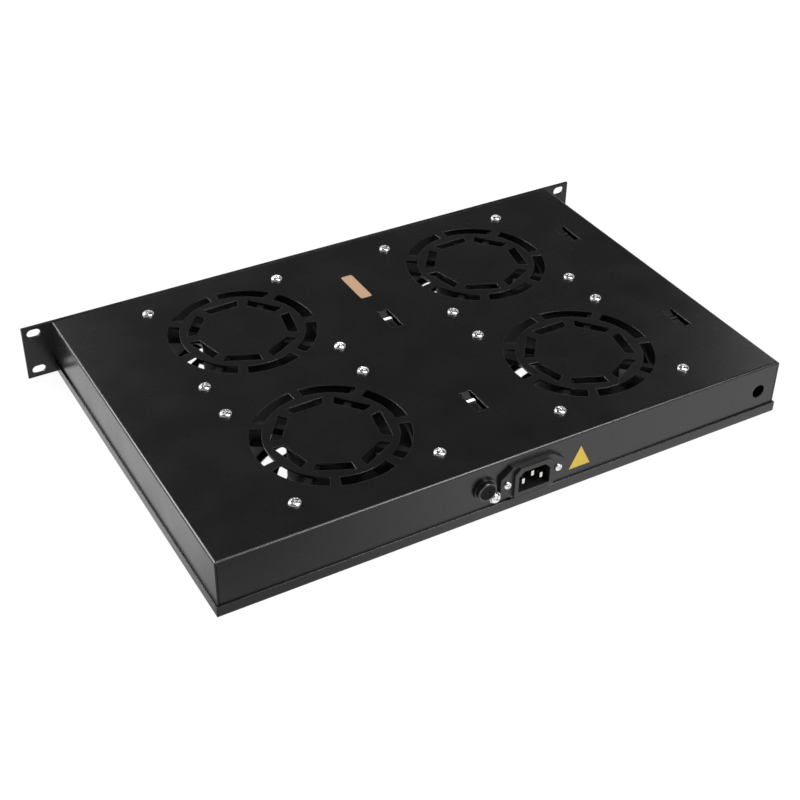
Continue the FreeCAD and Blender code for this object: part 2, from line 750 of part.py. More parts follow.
def inlet_body():
    """Moulded inlet: screw flange, raised collar, inner body and pin cavity."""
    flange_face = REAR + INLET_FLANGE_T
    w = INLET_FLANGE_W / 2
    h = INLET_FLANGE_H / 2
    cut_w = w - INLET_FLANGE_CUT_X
    cut_h = h - INLET_FLANGE_CUT_Z
    outline = [(-cut_w, -h), (cut_w, -h), (w, -cut_h), (w, cut_h), (cut_w, h), (-cut_w, h), (-w, cut_h), (-w, -cut_h)]
    flange = prism([V(INLET_X + x, REAR, INLET_Z + z) for x, z in outline], V(0, INLET_FLANGE_T, 0))
    collar_points = inlet_outline(INLET_COLLAR_W / 2, INLET_COLLAR_H / 2, INLET_CHAMFER, flange_face)
    collar = prism(collar_points, V(0, INLET_COLLAR_T, 0))
    body = fused([flange, collar, inlet_cutout(INLET_BACK, REAR, 0)])
    mouth_points = inlet_outline(INLET_MOUTH_W / 2, INLET_MOUTH_H / 2, INLET_CHAMFER, COLLAR_FACE)
    cutters = [prism(mouth_points, V(0, -INLET_MOUTH_D, 0))]
    for place in (PIN_LIVE, PIN_NEUTRAL, PIN_EARTH):
        cutters.append(pin_solid(place, SEAT_GAP, INLET_BACK - 1, COLLAR_FACE - INLET_MOUTH_D + 1))
    for side in (-1, 1):
        start = V(INLET_X + side * INLET_SCREW_PITCH / 2, REAR, INLET_Z)
        cutters.append(rod(M3[0] + HOLE_PLAY, start, start + V(0, INLET_FLANGE_T, 0)))
    return body.cut(Part.makeCompound(cutters))


def inlet_pin(place):
    """Contact pin with a thinner solder tail behind the body."""
    blade = pin_solid(place, 0, INLET_BACK, COLLAR_FACE - PIN_SHY)
    half_t = PIN_TAIL_T / 2
    half_h = PIN_H / 2
    tail = block(
        place.x - half_t, place.x + half_t, PIN_TAIL_END, INLET_BACK, place.z - half_h, place.z + half_h
    )
    return blade.fuse(tail)


def build_inlet():
    """Mains inlet with pins and fixings."""
    save("inlet_body", inlet_body())
    save("inlet_pins", *[inlet_pin(place) for place in (PIN_LIVE, PIN_NEUTRAL, PIN_EARTH)])
    inward = V(0, -1, 0)
    screws = []
    nuts = []
    for side in (-1, 1):
        x = INLET_X + side * INLET_SCREW_PITCH / 2
        screws.append(pan_screw(V(x, REAR + INLET_FLANGE_T, INLET_Z), inward, M3, INLET_SCREW_L))
        nuts.append(hex_nut(V(x, REAR_IN, INLET_Z), inward, M3[0], M3[3], M3[4]))
    save("inlet_screws", *screws)
    save("inlet_nuts", *nuts)


# ---------------------------------------------------------------- fuse holder
def on_fuse_axis(y):
    """Point on the fuse holder's axis."""
    return V(FUSE_X, y, FUSE_Z)


def fuse_holder_body():
    """Flanged tube through the rear wall, closed at its inner end but for the contact."""
    flange = rod(FUSE_FLANGE_R, on_fuse_axis(REAR), on_fuse_axis(FUSE_FACE))
    tube = rod(FUSE_TUBE_R, on_fuse_axis(FUSE_BACK), on_fuse_axis(REAR))
    bore = rod(CAP_STEM_R + RUN_GAP, on_fuse_axis(FUSE_FLOOR), on_fuse_axis(FUSE_FACE))
    tail_hole = rod(CONTACT_TAIL_R + SEAT_GAP, on_fuse_axis(FUSE_BACK), on_fuse_axis(FUSE_FLOOR))
    return fused([flange, tube]).cut(bore).cut(tail_hole)


def fuse_cap():
    """Turning cap with a screwdriver slot and a stem that holds the fuse link."""
    seat = FUSE_FACE + RUN_GAP
    knob = rod(CAP_R, on_fuse_axis(seat), on_fuse_axis(seat + CAP_T))
    rim = [e for e in knob.Edges if e.CenterOfMass.y > seat + CAP_T - 1e-3]
    knob = knob.makeFillet(CAP_EDGE, rim)
    stem = rod(CAP_STEM_R, on_fuse_axis(FUSE_FACE - CAP_STEM_L), on_fuse_axis(seat))
    socket = rod(LINK_R + RUN_GAP, on_fuse_axis(FUSE_FACE - CAP_STEM_L), on_fuse_axis(LINK_OUT + RUN_GAP))
    face = seat + CAP_T
    half = CAP_SLOT_W / 2
    slot = block(FUSE_X - CAP_R, FUSE_X + CAP_R, face - CAP_SLOT_D, face, FUSE_Z - half, FUSE_Z + half)
    return fused([knob, stem]).cut(socket).cut(slot)


def build_fuse_holder():
    """Fuse holder, its nut and contacts, the fuse link and the cap."""
    save("fuse_holder_body", fuse_holder_body())
    inward = V(0, -1, 0)
    save("fuse_holder_nut", hex_nut(on_fuse_axis(REAR_IN), inward, FUSE_TUBE_R, FUSE_NUT_AF, FUSE_NUT_T))
    disc_top = FUSE_FLOOR + CONTACT_T
    end_contact = fused([
        rod(CONTACT_R, on_fuse_axis(FUSE_FLOOR), on_fuse_axis(disc_top)),
        rod(CONTACT_TAIL_R, on_fuse_axis(FUSE_BACK - CONTACT_TAIL_L), on_fuse_axis(LINK_IN - SEAT_GAP)),
    ])
    ring_y = FUSE_BACK + FUSE_END_WALL
    inner_r = FUSE_TUBE_R + SEAT_GAP
    outer_r = inner_r + SIDE_RING_T
    side_ring = ring(outer_r, inner_r, on_fuse_axis(ring_y), on_fuse_axis(ring_y + SIDE_RING_L))
    half = SIDE_TAB_W / 2
    tab_low = FUSE_Z - outer_r
    tab_end = FUSE_BACK - CONTACT_TAIL_L
    tab = block(FUSE_X - half, FUSE_X + half, tab_end, ring_y + SIDE_RING_L, tab_low, tab_low + SIDE_RING_T)
    tab = tab.cut(rod(inner_r, on_fuse_axis(tab_end), on_fuse_axis(REAR)))
    save("fuse_contacts", end_contact, side_ring.fuse(tab))
    glass_r = LINK_R - LINK_CAP_WALL - SEAT_GAP
    glass_in = LINK_IN + LINK_CAP_WALL
    glass_out = LINK_OUT - LINK_CAP_WALL
    save("fuse_glass", rod(glass_r, on_fuse_axis(glass_in), on_fuse_axis(glass_out)))
    caps = []
    for closed, opened in ((LINK_IN, LINK_IN + LINK_CAP_L), (LINK_OUT, LINK_OUT - LINK_CAP_L)):
        inside = closed + math.copysign(LINK_CAP_WALL, opened - closed)
        cup = rod(LINK_R, on_fuse_axis(closed), on_fuse_axis(opened))
        caps.append(cup.cut(rod(LINK_R - LINK_CAP_WALL, on_fuse_axis(inside), on_fuse_axis(opened))))
    save("fuse_end_caps", *caps)
    save("fuse_cap", fuse_cap())


# ---------------------------------------------------------------- earth point
def build_earth():
    """Earth screw with washer outside, ring terminal and nut inside."""
    inward = V(0, -1, 0)
    at = V(EARTH_X, REAR, EARTH_Z)
    outside = V(EARTH_X, REAR + WASHER_T, EARTH_Z)
    save("earth_screw", pan_screw(outside, inward, M4, EARTH_SCREW_L))
    save("earth_washer", ring(WASHER_R, M4[0] + HOLE_PLAY, at, outside))
    inner = V(EARTH_X, REAR_IN, EARTH_Z)
    lug_end = inner + inward * LUG_T
    half = LUG_W / 2
    eye = ring(LUG_W, M4[0] + HOLE_PLAY, inner, lug_end)
    tongue = block(
        EARTH_X - half, EARTH_X + half, REAR_IN - LUG_T, REAR_IN, EARTH_Z - LUG_L, EARTH_Z - LUG_W + 0.5
    )
    save("earth_lug", eye.fuse(tongue))
    save("earth_nut", hex_nut(lug_end, inward, M4[0], M4[3], M4[4]))


# ---------------------------------------------------------------- rocker switch
def switch_pivot():
    """Middle of the rocker's pivot."""
    return V(SWITCH_X, ROCKER_SINK - PANEL_T, 0)


def switch_housing():
    """Snap-in housing with bezel, rocker well and pivot sockets."""
    bw = SWITCH_BEZEL_W / 2
    bh = SWITCH_BEZEL_H / 2
    w = SWITCH_BODY_W / 2
    h = SWITCH_BODY_H / 2
    ww = SWITCH_WELL_W / 2
    wh = SWITCH_WELL_H / 2
    front = -PANEL_T - SWITCH_BEZEL_T
    bezel = block(SWITCH_X - bw, SWITCH_X + bw, front, -PANEL_T, -bh, bh)
    face_edges = [e for e in bezel.Edges if e.CenterOfMass.y < front + 1e-3]
    bezel = bezel.makeChamfer(SWITCH_BEZEL_T / 3, face_edges)
    body = block(SWITCH_X - w, SWITCH_X + w, -PANEL_T, SWITCH_BACK, -h, h)
    well = block(SWITCH_X - ww, SWITCH_X + ww, front, front + SWITCH_WELL_D, -wh, wh)
    reach = V(ww + ROCKER_PIN_L + RUN_GAP, 0, 0)
    sockets = rod(ROCKER_PIN_R + RUN_GAP, switch_pivot() - reach, switch_pivot() + reach)
    return fused([bezel, body]).cut(well).cut(sockets)


def switch_rocker():
    """Dished rocker on two stub pins, resting on its off side."""
    pivot = switch_pivot()
    half_w = SWITCH_WELL_W / 2 - ROCKER_SIDE_GAP
    half_h = ROCKER_H / 2
    outline = [
        (-ROCKER_RISE, half_h), (ROCKER_DISH - ROCKER_RISE, 0), (-ROCKER_RISE, -half_h),
        (0, -half_h), (ROCKER_KEEL, -half_h / 2), (ROCKER_KEEL, half_h / 2), (0, half_h),
    ]
    points = [pivot + V(-half_w, y, z) for y, z in outline]
    paddle = prism(points, V(2 * half_w, 0, 0))
    reach = V(SWITCH_WELL_W / 2 + ROCKER_PIN_L, 0, 0)
    rocker = paddle.fuse(rod(ROCKER_PIN_R, pivot - reach, pivot + reach))
    return rocker.rotate(pivot, V(1, 0, 0), -ROCKER_TILT)


def build_switch():
    """Mains switch: housing, rocker and solder tabs."""
    save("switch_housing", switch_housing())
    save("switch_rocker", switch_rocker())
    half_w = TAB_W / 2
    half_t = TAB_T / 2
    tabs = []
    for z in (-TAB_PITCH, 0, TAB_PITCH):
        tabs.append(block(SWITCH_X - half_w, SWITCH_X + half_w, SWITCH_BACK, TAB_END, z - half_t, z + half_t))
    save("switch_tabs", *tabs)


# ---------------------------------------------------------------- terminal block and leads
def build_terminal_block():
    """Moulded strip of clamping ways under the top sheet, with its clamp screws."""
    half_w = BLOCK_W / 2
    low = CEILING - BLOCK_H
    strip = block(-half_w, half_w, BLOCK_FRONT, BLOCK_REAR, low, CEILING)
    way = BLOCK_L / BLOCK_WAYS
    cutters = []
    screws = []
    for index in range(1, BLOCK_WAYS):
        y = BLOCK_FRONT + index * way
        neck = BLOCK_NECK / 2
        cutters.append(block(-half_w, half_w, y - neck, y + neck, low, low + BLOCK_H / 3))
    for index in range(BLOCK_WAYS):
        y = BLOCK_FRONT + (index + 0.5) * way
        for side in (-1, 1):
            x = side * half_w / 2
            cutters.append(rod(BLOCK_SCREW_R + SEAT_GAP, V(x, y, low), V(x, y, low + BLOCK_H / 3)))
            seat = V(x, y, low + BLOCK_H / 6)
            screws.append(rod(BLOCK_SCREW_R, seat, seat + V(0, 0, BLOCK_H / 6)))
    save("terminal_block", strip.cut(Part.makeCompound(cutters)))
    save("terminal_screws", *screws)


def fan_lead(centre):
    """Lead from a fan's barrel, through its open corner, to the side of the block."""
    sx = math.copysign(1, -centre.x)
    sy = math.copysign(1, FAN_GRID_Y - centre.y)
    level = CEILING - FAN_DEPTH / 2
    start = BARREL_R / math.sqrt(2) + SEAT_GAP
    enter_y = FAN_GRID_Y - sy * BLOCK_L / (2 * BLOCK_WAYS)
    corner_x = -sx * (abs(centre.x) - FAN_HALF - 6)
    points = [
        V(centre.x + sx * start, centre.y + sy * start, level),
        V(corner_x, enter_y, level),
        V(-sx * (BLOCK_W / 2 + 12), enter_y, BLOCK_WIRE_Z),
        V(-sx * (BLOCK_W / 2 + SEAT_GAP), enter_y, BLOCK_WIRE_Z),
    ]
    return lead(points, FAN_LEAD_R)


def build_leads():
    """Mains leads inside the tray, each along its tied or free route."""
    tail = PIN_TAIL_END - SEAT_GAP
    fuse_tail = FUSE_BACK - CONTACT_TAIL_L - SEAT_GAP
    side_tab_z = FUSE_Z - FUSE_TUBE_R - SIDE_RING_T / 2
    rear_run = (REAR_IN + FAN_GRID_Y + FAN_PITCH_Y / 2 + FAN_HALF) / 2
    front_run = (SHEET + FAN_GRID_Y - FAN_PITCH_Y / 2 - FAN_HALF) / 2
    side_x = BRIDGE_PLACES[0][0]
    centre_x = BRIDGE_PLACES[2][0]
    switch_y = TAB_END + SEAT_GAP
    save("lead_inlet_to_fuse", lead([
        V(PIN_LIVE.x, tail, PIN_LIVE.z),
        V(PIN_LIVE.x, tail - 14, PIN_LIVE.z),
        V(14, tail - 22, 2),
        V(FUSE_X, tail - 16, FUSE_Z),
        V(FUSE_X, fuse_tail, FUSE_Z),
    ], LEAD_R))
    save("lead_fuse_to_switch", lead([
        V(FUSE_X, fuse_tail, side_tab_z),
        V(FUSE_X, fuse_tail - 12, side_tab_z),
        V(22, fuse_tail - 24, -9),
        V(6, fuse_tail - 30, -12),
        V(-20, fuse_tail - 26, -12),
        V(-33, fuse_tail - 5, -8),
        V(-42, rear_run, 0),
        V(-66, rear_run, 8),
        V(-168, rear_run, 8),
        V(side_x, rear_run - 8, 11),
        V(side_x, rear_run - 34, TIED_Z),
        V(side_x, 60, TIED_Z),
        V(side_x, TAB_END + 22, 9),
        V(SWITCH_X, TAB_END + 11, TAB_PITCH),
        V(SWITCH_X, switch_y, TAB_PITCH),
    ], LEAD_R))
    save("lead_switch_to_block", lead([
        V(SWITCH_X, switch_y, 0),
        V(SWITCH_X, switch_y + 12, 0),
        V(-173, switch_y + 15, -6),
        V(-166, switch_y, -8),
        V(-150, front_run, -8),
        V(-24, front_run, -4),
        V(-6, front_run + 14, 4),
        V(centre_x, front_run + 44, TIED_Z),
        V(centre_x, BLOCK_FRONT - 15, TIED_Z),
        V(0, BLOCK_FRONT - 7, BLOCK_WIRE_Z),
        V(0, BLOCK_FRONT - SEAT_GAP, BLOCK_WIRE_Z),
    ], LEAD_R))
    save("lead_inlet_to_block", lead([
        V(PIN_NEUTRAL.x, tail, PIN_NEUTRAL.z),
        V(PIN_NEUTRAL.x, tail - 10, PIN_NEUTRAL.z),
        V(-12.5, tail - 19, 9),
        V(centre_x, tail - 28, TIED_Z),
        V(centre_x, 200, TIED_Z),
        V(0, BLOCK_REAR + 9, BLOCK_WIRE_Z),
        V(0, BLOCK_REAR + SEAT_GAP, BLOCK_WIRE_Z),
    ], LEAD_R))
    lug_z = EARTH_Z - LUG_L + LEAD_R
    save("lead_earth", lead([
        V(EARTH_X, REAR_IN - LUG_T - SEAT_GAP, lug_z),
        V(EARTH_X, tail - 4, lug_z),
        V(10, tail - 18, -12),
        V(INLET_X, tail - 22, -5),
        V(INLET_X, tail - 14, PIN_EARTH.z),
        V(INLET_X, tail, PIN_EARTH.z),
    ], LEAD_R))
    for number, centre in enumerate(FAN_CENTRES, start=1):
        save("fan_%d_lead" % number, fan_lead(centre))


def cable_tie(x, y):
    """Tie round a bridge strip and the lead below it, with its square head at one side."""
    half = BRIDGE_W / 2 + TIE_GAP
    low = TIED_Z - LEAD_R - TIE_GAP
    high = BRIDGE_TOP + TIE_GAP
    y0 = y - TIE_W / 2
    y1 = y + TIE_W / 2
    loop = block(x - half - TIE_T, x + half + TIE_T, y0, y1, low - TIE_T, high + TIE_T)
    loop = loop.cut(block(x - half, x + half, y0, y1, low, high))
    head = block(
        x - half - TIE_T, x - half - TIE_T + TIE_HEAD, y - TIE_HEAD / 2, y + TIE_HEAD / 2,
        low - TIE_HEAD, low - TIE_T / 2,
    )
    return fused([loop, head])


def build_ties():
    """One tie at each bridge."""
    save("cable_ties", *[cable_tie(x, y - 4) for x, y in BRIDGE_PLACES])


# ---------------------------------------------------------------- labels
def build_labels():
    """Plain strip on the top and plain triangle on the rear wall."""
    strip = block(
        LABEL_X - LABEL_W / 2, LABEL_X + LABEL_W / 2,
        LABEL_Y - LABEL_L / 2, LABEL_Y + LABEL_L / 2, TOP, TOP + LABEL_T,
    )
    save("label_top", strip)
    corners = [V(TRIANGLE_X - TRIANGLE_W / 2, REAR, TRIANGLE_Z)]
    corners.append(V(TRIANGLE_X + TRIANGLE_W / 2, REAR, TRIANGLE_Z))
    corners.append(V(TRIANGLE_X, REAR, TRIANGLE_Z + TRIANGLE_H))
    save("label_rear", prism(corners, V(0, LABEL_T, 0)))


def main():
    """Write every sub-part."""
    os.makedirs("parts", exist_ok=True)
    save("chassis_tray", chassis_tray())
    save("bottom_cover", bottom_cover())
    save("front_panel", front_panel())
    build_fans()
    build_fan_fixings()
    build_case_fixings()
    build_inlet()
    build_fuse_holder()
    build_earth()
    build_switch()
    build_terminal_block()
    build_leads()
    build_ties()
    build_labels()


main()
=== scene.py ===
"""Rack fan tray: finishes, detailed fasteners and the studio, laid out as an add-on."""

import math

import bmesh
import bpy
import numpy as np
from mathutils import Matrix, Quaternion, Vector


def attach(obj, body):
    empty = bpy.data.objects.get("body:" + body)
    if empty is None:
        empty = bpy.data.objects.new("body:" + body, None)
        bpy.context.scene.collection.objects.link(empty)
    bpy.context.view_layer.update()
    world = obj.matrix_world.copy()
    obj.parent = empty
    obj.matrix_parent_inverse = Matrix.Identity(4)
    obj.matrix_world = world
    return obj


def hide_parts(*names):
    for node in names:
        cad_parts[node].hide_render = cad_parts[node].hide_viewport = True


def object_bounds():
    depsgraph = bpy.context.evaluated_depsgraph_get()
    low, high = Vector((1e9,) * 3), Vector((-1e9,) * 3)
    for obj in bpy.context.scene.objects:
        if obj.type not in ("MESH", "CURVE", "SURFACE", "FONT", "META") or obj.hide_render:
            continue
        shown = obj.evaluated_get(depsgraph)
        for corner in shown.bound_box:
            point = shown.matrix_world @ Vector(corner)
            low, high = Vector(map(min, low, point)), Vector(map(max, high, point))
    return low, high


bl_info = {
    "name": "Rack Fan Tray",
    "version": (1, 0, 0),
    "blender": (4, 5, 0),
    "location": "View3D > Sidebar > Fan Tray",
    "description": "Finishes and fittings of a one-unit rack fan tray with four mains fans",
    "category": "Object",
}

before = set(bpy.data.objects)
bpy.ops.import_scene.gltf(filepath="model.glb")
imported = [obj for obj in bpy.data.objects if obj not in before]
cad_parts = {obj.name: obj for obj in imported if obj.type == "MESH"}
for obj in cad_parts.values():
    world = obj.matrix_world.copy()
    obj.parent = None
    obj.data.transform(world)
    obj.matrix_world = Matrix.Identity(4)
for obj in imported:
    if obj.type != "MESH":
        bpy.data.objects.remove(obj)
CAD_BOX = [list(corner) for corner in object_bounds()]
MM = 0.001

# head height of each screw over its length, and shank radius over head radius
FAN_SCREW_HEAD = 2.4 / 16.4
INLET_SCREW_HEAD = 2.0 / 14.0
EARTH_SCREW_HEAD = 2.4 / 13.4
M4_SHANK = 2.0 / 3.8
M3_SHANK = 1.5 / 2.9
FAN_HEAD_SPREAD = 1.14  # how much wider the fan screw heads are than those of the solids
FIRST_TURN = 0.4  # angle of the first cross recess, radians
TURN_STEP = 1.7  # from one screw to the next, so that no two crosses line up

TOOTH_PITCH = 0.8 * MM  # grip teeth of the cable ties
TOOTH_HEIGHT = 0.12 * MM
FILM_HALF_W = 4.75 * MM
FILM_HALF_L = 17.0 * MM

FLOOR_GAP = 0.2 * MM  # between the floor and the lowest face, so that the two never coincide
FLOOR_HALF = 30.0
SHADE_PATCH_CENTRE = (0.2, 0.4)  # middle of the painted shade patch on the floor, seen only in reflections
SHADE_PATCH_REACH = (0.02, 0.2)  # distances at which the painted shade patch is darkest and ends
SHEEN_LEVEL = 1.08  # floor brightness in reflections outside the painted shade patch
ROOM_LEVEL = 0.8  # room light that falls on the tray, where 1 is white
DOME_SPAN = (-0.58, -0.18)  # share of x between the dim and the lighter side of the dome
HORIZON_SPAN = (0.08, 0.4)  # share of height over which the horizon fades into the dome


# ---------------------------------------------------------------- settings
class PaintSettings(bpy.types.PropertyGroup):
    """Black paint of the tray, cover and panel."""

    colour: bpy.props.FloatVectorProperty(
        name="Paint", description="Colour of the powder coat", subtype="COLOR",
        size=3, default=(0.0035, 0.0035, 0.0038), min=0, max=1,
    )
    roughness: bpy.props.FloatProperty(
        name="Roughness", description="Gloss of the powder coat", default=0.27, min=0, max=1,
        subtype="FACTOR",
    )
    grain: bpy.props.FloatProperty(
        name="Grain", description="Size of one bump of the powder coat",
        default=0.0012, min=0.0002, max=0.01, unit="LENGTH",
    )
    grain_depth: bpy.props.FloatProperty(
        name="Grain depth", description="Height of the bumps of the powder coat",
        default=0.000012, min=0, max=0.001, unit="LENGTH",
    )
    edge_round: bpy.props.FloatProperty(
        name="Edge round", description="Radius that the paint gives to sheet edges",
        default=0.0007, min=0, max=0.002, unit="LENGTH",
    )


class FastenerSettings(bpy.types.PropertyGroup):
    """Pan-head screws with a cross recess."""

    metal: bpy.props.FloatVectorProperty(
        name="Plating", description="Colour of the bright zinc plate", subtype="COLOR",
        size=3, default=(0.86, 0.86, 0.87), min=0, max=1,
    )
    roughness: bpy.props.FloatProperty(
        name="Roughness", description="Gloss of the zinc plate", default=0.22, min=0, max=1,
        subtype="FACTOR",
    )
    recess_width: bpy.props.FloatProperty(
        name="Recess width",
        description="Width of one arm of the cross, as a share of the head radius",
        default=0.26, min=0.05, max=0.6,
    )
    recess_reach: bpy.props.FloatProperty(
        name="Recess reach", description="Length of an arm, as a share of the head radius",
        default=0.62, min=0.2, max=0.9,
    )
    recess_depth: bpy.props.FloatProperty(
        name="Recess depth", description="Depth of the cross, as a share of the head height",
        default=0.62, min=0.1, max=0.9,
    )
    thread_pitch: bpy.props.FloatProperty(
        name="Thread pitch", description="Pitch of the screw threads",
        default=0.0007, min=0.0003, max=0.002, unit="LENGTH",
    )


class MouldingSettings(bpy.types.PropertyGroup):
    """Plastic parts, leads and labels."""

    housing: bpy.props.FloatVectorProperty(
        name="Housing", description="Colour of the inlet and switch mouldings", subtype="COLOR",
        size=3, default=(0.005, 0.005, 0.0055), min=0, max=1,
    )
    fan: bpy.props.FloatVectorProperty(
        name="Fan", description="Colour of the fan castings and blades", subtype="COLOR",
        size=3, default=(0.004, 0.004, 0.0045), min=0, max=1,
    )
    nylon: bpy.props.FloatVectorProperty(
        name="Nylon", description="Colour of the natural nylon ties", subtype="COLOR",
        size=3, default=(0.86, 0.85, 0.8), min=0, max=1,
    )
    strip: bpy.props.FloatVectorProperty(
        name="Top strip", description="Colour of the plain strip on the top", subtype="COLOR",
        size=3, default=(0.3, 0.187, 0.112), min=0, max=1,
    )
    triangle: bpy.props.FloatVectorProperty(
        name="Rear triangle", description="Colour of the plain triangle on the rear wall",
        subtype="COLOR", size=3, default=(0.4, 0.275, 0.022), min=0, max=1,
    )


class StudioSettings(bpy.types.PropertyGroup):
    """Camera, lamps and floor."""

    eye: bpy.props.FloatVectorProperty(
        name="Camera place", description="Where the camera stands", subtype="XYZ", unit="LENGTH",
        size=3, default=(0.4407, 0.8951, 0.6065),
    )
    aim: bpy.props.FloatVectorProperty(
        name="Camera aim", description="Point at the middle of the view", subtype="XYZ",
        unit="LENGTH", size=3, default=(0.02675, 0.18087, 0.0),
    )
    roll: bpy.props.FloatProperty(
        name="Camera roll", description="Turn of the camera about its own axis",
        default=math.radians(0.905), subtype="ANGLE",
    )
    lens: bpy.props.FloatProperty(
        name="Lens", description="Focal length in millimetres on a 36 mm sensor",
        default=65.08, min=20, max=300,
    )
    dome: bpy.props.FloatProperty(
        name="Dome", description="Light that shiny faces see overhead", default=0.07, min=0, max=2,
    )
    dome_tilt: bpy.props.FloatProperty(
        name="Dome tilt", description="Share by which the dome is lighter towards the right-hand ear",
        default=0.5, min=0, max=1, subtype="FACTOR",
    )
    # painted shade: share of the floor's reflected light left in the patch near the rear corner
    painted_corner_shade: bpy.props.FloatProperty(
        name="Corner shade", description="Share of the floor light that is left at the rear corner",
        default=0.05, min=0, max=1, subtype="FACTOR",
    )
    horizon: bpy.props.FloatProperty(
        name="Horizon", description="Light that shiny faces see at the horizon", default=0.95,
        min=0, max=2,
    )
    floor_white: bpy.props.FloatProperty(
        name="Floor", description="Whiteness of the floor", default=0.93, min=0, max=1,
        subtype="FACTOR",
    )
    floor_glow: bpy.props.FloatProperty(
        name="Floor glow", description="Share of the floor that is plain white to the camera",
        default=0.93, min=0, max=1, subtype="FACTOR",
    )
    overhead: bpy.props.FloatProperty(
        name="Overhead lamp", description="Power of the soft lamp above the tray", default=7.0,
        min=0, unit="POWER",
    )
    rear: bpy.props.FloatProperty(
        name="Rear lamp", description="Power of the soft lamp above the camera side", default=32.0,
        min=0, unit="POWER",
    )
    side: bpy.props.FloatProperty(
        name="Side lamp", description="Power of the soft lamp beside the panel", default=30.0,
        min=0, unit="POWER",
    )
    far_left: bpy.props.FloatProperty(
        name="Far left lamp", description="Power of the lamp beyond the panel, left in the view",
        default=1.2, min=0, unit="POWER",
    )
    far_right: bpy.props.FloatProperty(
        name="Far right lamp", description="Power of the lamp beyond the panel, right in the view",
        default=1.0, min=0, unit="POWER",
    )


# ---------------------------------------------------------------- shader groups
def socket_group(name, inputs, outputs):
    """Empty node group with named float, vector or colour sockets."""
    group = bpy.data.node_groups.new(name, "ShaderNodeTree")
    for label, kind, value in inputs:
        socket = group.interface.new_socket(label, in_out="INPUT", socket_type=kind)
        if value is not None:
            socket.default_value = value
    for label, kind in outputs:
        group.interface.new_socket(label, in_out="OUTPUT", socket_type=kind)
    entry = group.nodes.new("NodeGroupInput")
    exit_ = group.nodes.new("NodeGroupOutput")
    return group, entry, exit_


def put(tree, kind, inputs=None, **settings):
    """New node with its settings and input values."""
    node = tree.nodes.new(kind)
    for key, value in settings.items():
        setattr(node, key, value)
    for key, value in (inputs or {}).items():
        if isinstance(value, bpy.types.NodeSocket):
            tree.links.new(value, node.inputs[key])
        else:
            node.inputs[key].default_value = value
    return node


def grain_group():
    """Powder-coat bumps: fine noise added to a slower waviness, both on Object coordinates."""
    group, entry, exit_ = socket_group(
        "Paint grain",
        [("Scale", "NodeSocketFloat", 800.0), ("Wave", "NodeSocketFloat", 40.0)],
        [("Height", "NodeSocketFloat"), ("Tone", "NodeSocketFloat")],
    )
    place = put(group, "ShaderNodeTexCoord")
    fine = put(group, "ShaderNodeTexNoise", {
        "Vector": place.outputs["Object"], "Scale": entry.outputs["Scale"], "Detail": 3.0,
    })
    slow = put(group, "ShaderNodeTexNoise", {
        "Vector": place.outputs["Object"], "Scale": entry.outputs["Wave"], "Detail": 2.0,
    })
    both = put(group, "ShaderNodeMath", {
        0: slow.outputs["Fac"], 1: 0.6, 2: fine.outputs["Fac"],
    }, operation="MULTIPLY_ADD")
    group.links.new(both.outputs[0], exit_.inputs["Height"])
    group.links.new(slow.outputs["Fac"], exit_.inputs["Tone"])
    return group


def dust_group():
    """Dust: patchy noise times how far a face looks up."""
    group, entry, exit_ = socket_group(
        "Dust film",
        [("Amount", "NodeSocketFloat", 0.3), ("Scale", "NodeSocketFloat", 25.0)],
        [("Mask", "NodeSocketFloat")],
    )
    place = put(group, "ShaderNodeTexCoord")
    face = put(group, "ShaderNodeNewGeometry")
    up = put(group, "ShaderNodeSeparateXYZ", {"Vector": face.outputs["Normal"]})
    patch = put(group, "ShaderNodeTexNoise", {
        "Vector": place.outputs["Object"], "Scale": entry.outputs["Scale"], "Detail": 6.0,
        "Roughness": 0.7,
    })
    shaped = put(group, "ShaderNodeMapRange", {
        "Value": patch.outputs["Fac"], "From Min": 0.42, "From Max": 0.75,
    })
    facing = put(group, "ShaderNodeMath", {0: up.outputs["Z"], 1: 0.0}, operation="MAXIMUM")
    product = put(group, "ShaderNodeMath", {
        0: shaped.outputs["Result"], 1: facing.outputs[0],
    }, operation="MULTIPLY")
    scaled = put(group, "ShaderNodeMath", {
        0: product.outputs[0], 1: entry.outputs["Amount"],
    }, operation="MULTIPLY")
    group.links.new(scaled.outputs[0], exit_.inputs["Mask"])
    return group


def brushed_group():
    """Fine lines: noise stretched along one axis of the Object coordinates."""
    group, entry, exit_ = socket_group(
        "Brushed lines",
        [("Across", "NodeSocketVector", (2500.0, 120.0, 2500.0))],
        [("Lines", "NodeSocketFloat")],
    )
    place = put(group, "ShaderNodeTexCoord")
    stretch = put(group, "ShaderNodeVectorMath", {
        0: place.outputs["Object"], 1: entry.outputs["Across"],
    }, operation="MULTIPLY")
    lines = put(group, "ShaderNodeTexNoise", {
        "Vector": stretch.outputs[0], "Scale": 1.0, "Detail": 2.0,
    })
    group.links.new(lines.outputs["Fac"], exit_.inputs["Lines"])
    return group


GROUPS = {}


def shared(name):
    """A shared node group, built the first time it is asked for."""
    makers = {"grain": grain_group, "dust": dust_group, "brushed": brushed_group}
    if name not in GROUPS:
        GROUPS[name] = makers[name]()
    return GROUPS[name]


# ---------------------------------------------------------------- materials
def fresh(name):
    """Material with one Principled shader, whose settings are given by the caller."""
    material = bpy.data.materials.new(name)
    material.use_nodes = True
    tree = material.node_tree
    shader = tree.nodes["Principled BSDF"]
    return material, tree, shader


def two_tone(tree, mask, low, high):
    """Colour between two tones by a mask."""
    mix = put(tree, "ShaderNodeMix", {0: mask}, data_type="RGBA")
    mix.inputs[6].default_value = (*low, 1.0)
    mix.inputs[7].default_value = (*high, 1.0)
    return mix.outputs[2]


def shade(colour, factor):
    """Colour made lighter or darker."""
    return tuple(min(1.0, channel * factor) for channel in colour)


